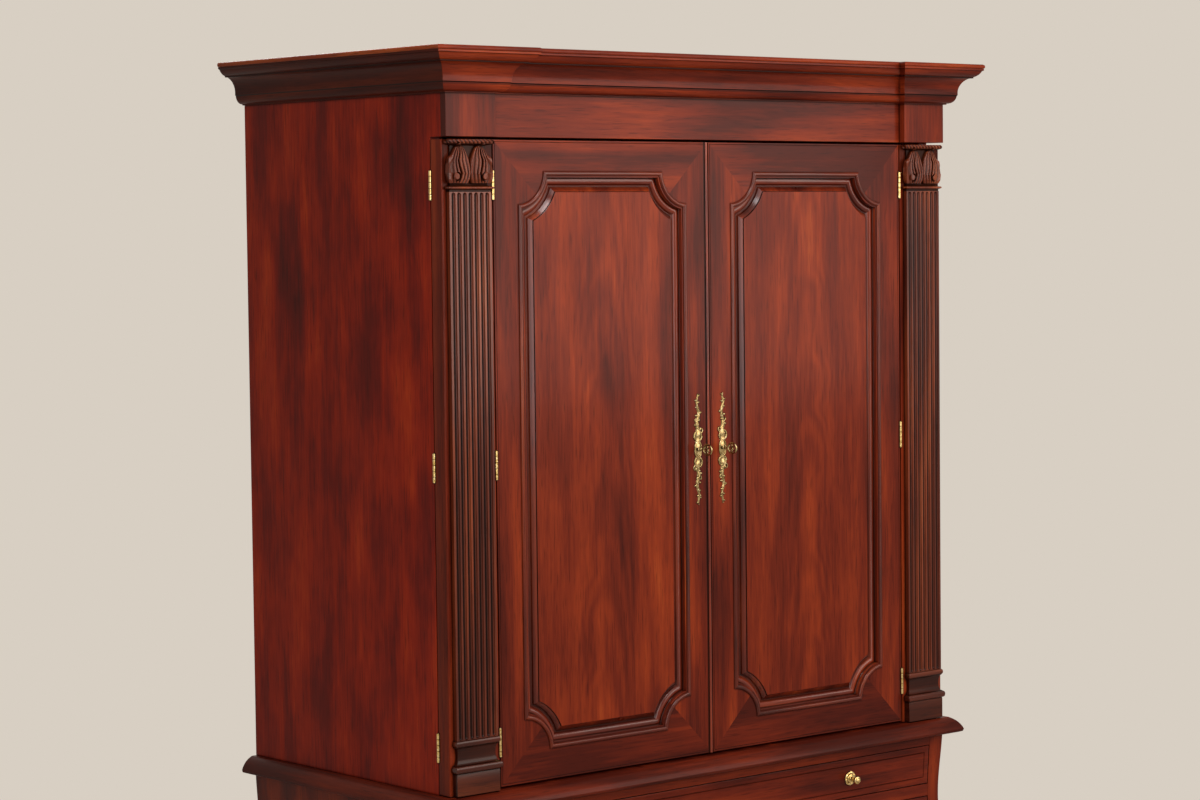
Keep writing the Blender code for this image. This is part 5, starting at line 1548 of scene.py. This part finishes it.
def make_drawer(name, number):
    """One drawer: shaped front, box boards and two knobs."""
    body = f"drawer_{name}"
    (_, half), (_, rear), (low, high) = limits(f"drawer_front_{name}")
    Shape().skin([row + [(row[0][0], rear, high), (row[0][0], rear, low)]
                  for row in drawer_face(half, low, high)], grain=ALONG_X, board=number).make(
        f"drawer_{name}_front", polished, body, [f"drawer_front_{name}"], smooth=28)
    (left, right), (near, far), z = limits(f"drawer_box_{name}")
    boards = Shape()
    for side in (-1, 1):
        edge = right * side
        plank(boards, (edge, edge - side * BOX_WALL), (near, far), z, ALONG_Y,
              number + 2 * side)
    inner = (left + BOX_WALL + BOX_JOINT, right - BOX_WALL - BOX_JOINT)
    plank(boards, inner, (far - BOX_WALL, far - 0.4 * MM), (z[0], z[1] - 6 * MM), ALONG_X,
          number + 5)
    plank(boards, inner, (near, far - BOX_WALL - BOX_JOINT),
          (z[0] + BOX_JOINT, z[0] + 8 * MM), ALONG_X, number + 7)
    boards.make(f"drawer_{name}_box", plain, body, [f"drawer_box_{name}"], soft=0.8 * MM)
    for side_name in SIDES:
        make_knob(name, side_name, (low + high) / 2)


def make_knob(name, side_name, z):
    """A turned knob on a petalled rosette, square to the swelling front."""
    x = sum(limits(f"knob_{name}_{side_name}")[0]) / 2
    slope = (swell(z + MM) - swell(z - MM)) / (2 * MM)
    out_way = Vector((0, -1, -slope)).normalized()
    up_way = Vector((0, -slope, 1)).normalized()
    seat = Vector((x, CHEST_FRONT - swell(z), z))
    rows = []
    for radius, out, petal in KNOB:
        row = []
        for k in range(64):
            angle = math.tau * k / 64
            notch = petal * (1 - abs(math.sin(4 * angle))) ** 2
            round_way = Vector((math.cos(angle), 0, 0)) + up_way * math.sin(angle)
            row.append(seat + out_way * (out - 0.9 * notch) * MM
                       + round_way * (radius - 1.3 * notch) * MM)
        rows.append(row)
    Shape().skin(rows).make(f"knob_{name}_{side_name}_turning", brass, f"drawer_{name}",
                            [f"knob_{name}_{side_name}"], smooth=45)


for number, name in enumerate(("top", "middle", "bottom")):
    make_drawer(name, 180.25 + 9 * number)
print("drawers: 3 with 6 knobs")

# %% [markdown]
# ## Studio
# The room is a pale floor under soft light. A polished surface shows its lamps as well as its
# own colour, so each lamp is placed for what mirrors it. The largest stands to the front right,
# where the flat front mirrors it towards the camera as a soft haze. The key lamp stands to the
# front left, where the slopes of the panels mirror it, and lights the cabinet's side. Two small
# lamps hang above for the mouldings and the scooped corners, and one stands behind, so that the
# back isn't in the dark. The floor fades out at its edge, so that from any side the armoire
# stands before the plain warm grey of the room.

# %% Floor, world and lamps
ROOM_COLOUR = "#D8CFC3"
EVEN_LIGHT = 0.12             # strength of the light that comes from all sides
FLOOR_RADIUS = 3.2
FLOOR_FADE = (1.7, 3.1)       # from where to where the floor turns transparent


def area_lamp(name, place, target, size, power, colour="#FFFFFF"):
    """A rectangular soft lamp aimed at a target, unseen by the camera."""
    data = bpy.data.lights.new(name, "AREA")
    data.shape = "RECTANGLE"
    data.size, data.size_y = size
    data.energy = power
    data.color = linear(colour)[:3]
    lamp = bpy.data.objects.new(name, data)
    lamp.location = place
    lamp.rotation_euler = (Vector(target) - Vector(place)).to_track_quat("-Z", "Y").to_euler()
    lamp.visible_camera = False
    bpy.context.scene.collection.objects.link(lamp)


def make_floor():
    """A pale disc that turns transparent towards its edge."""
    material, tree = new_material("pale_floor")
    place = add(tree, "ShaderNodeTexCoord").outputs["Object"]
    distance = add(tree, "ShaderNodeVectorMath", {0: place}, operation="LENGTH")
    fade = add(tree, "ShaderNodeMapRange",
               {"Value": distance, "From Min": FLOOR_FADE[0], "From Max": FLOOR_FADE[1]},
               interpolation_type="SMOOTHSTEP")
    solid = add(tree, "ShaderNodeBsdfPrincipled",
                {"Base Color": linear("#D9D3CA"), "Roughness": 0.7})
    clear = add(tree, "ShaderNodeBsdfTransparent")
    mixed = add(tree, "ShaderNodeMixShader", {0: fade, 1: solid, 2: clear})
    add(tree, "ShaderNodeOutputMaterial", {"Surface": mixed})
    rim = circle((0.0, 0.0, 0.0), FLOOR_RADIUS, FLOOR_RADIUS, 64)
    floor = new_object("floor", rim, [tuple(range(64))])
    floor.data.materials.append(material)


def make_world():
    """Even light on the object, and the room's own colour where a ray sees past it."""
    world = bpy.data.worlds.new("room")
    world.use_nodes = True
    tree = world.node_tree
    tree.nodes.clear()
    ray = add(tree, "ShaderNodeLightPath").outputs
    seen = ray["Is Camera Ray"]
    for kind in ("Is Glossy Ray", "Is Transmission Ray"):
        seen = add(tree, "ShaderNodeMath", {0: seen, 1: ray[kind]}, operation="MAXIMUM")
    even = add(tree, "ShaderNodeBackground",
               {"Color": linear("#FFF6EA"), "Strength": EVEN_LIGHT})
    room = add(tree, "ShaderNodeBackground", {"Color": linear(ROOM_COLOUR), "Strength": 1.0})
    mixed = add(tree, "ShaderNodeMixShader", {0: seen, 1: even, 2: room})
    add(tree, "ShaderNodeOutputWorld", {"Surface": mixed})
    bpy.context.scene.world = world


make_floor()
make_world()
area_lamp("key_lamp", (-1.75, -2.15, 2.3), (-0.2, -0.3, 1.9), (1.6, 2.1), 34)
area_lamp("front_lamp", (-0.1, -1.75, 2.85), (-0.1, -0.2, 1.6), (1.2, 0.7), 5)
area_lamp("corner_lamp", (-0.8, -1.9, 3.9), (-0.4, -0.3, 1.8), (0.9, 0.7), 28)
area_lamp("haze_lamp", (1.8, -3.0, 2.25), (0.1, -0.2, 1.8), (2.2, 1.9), 56, "#FFF1E6")
area_lamp("back_lamp", (1.0, 3.2, 4.4), (0.0, 0.6, 0.9), (1.8, 1.8), 75)
bpy.context.scene.view_settings.view_transform = "Standard"
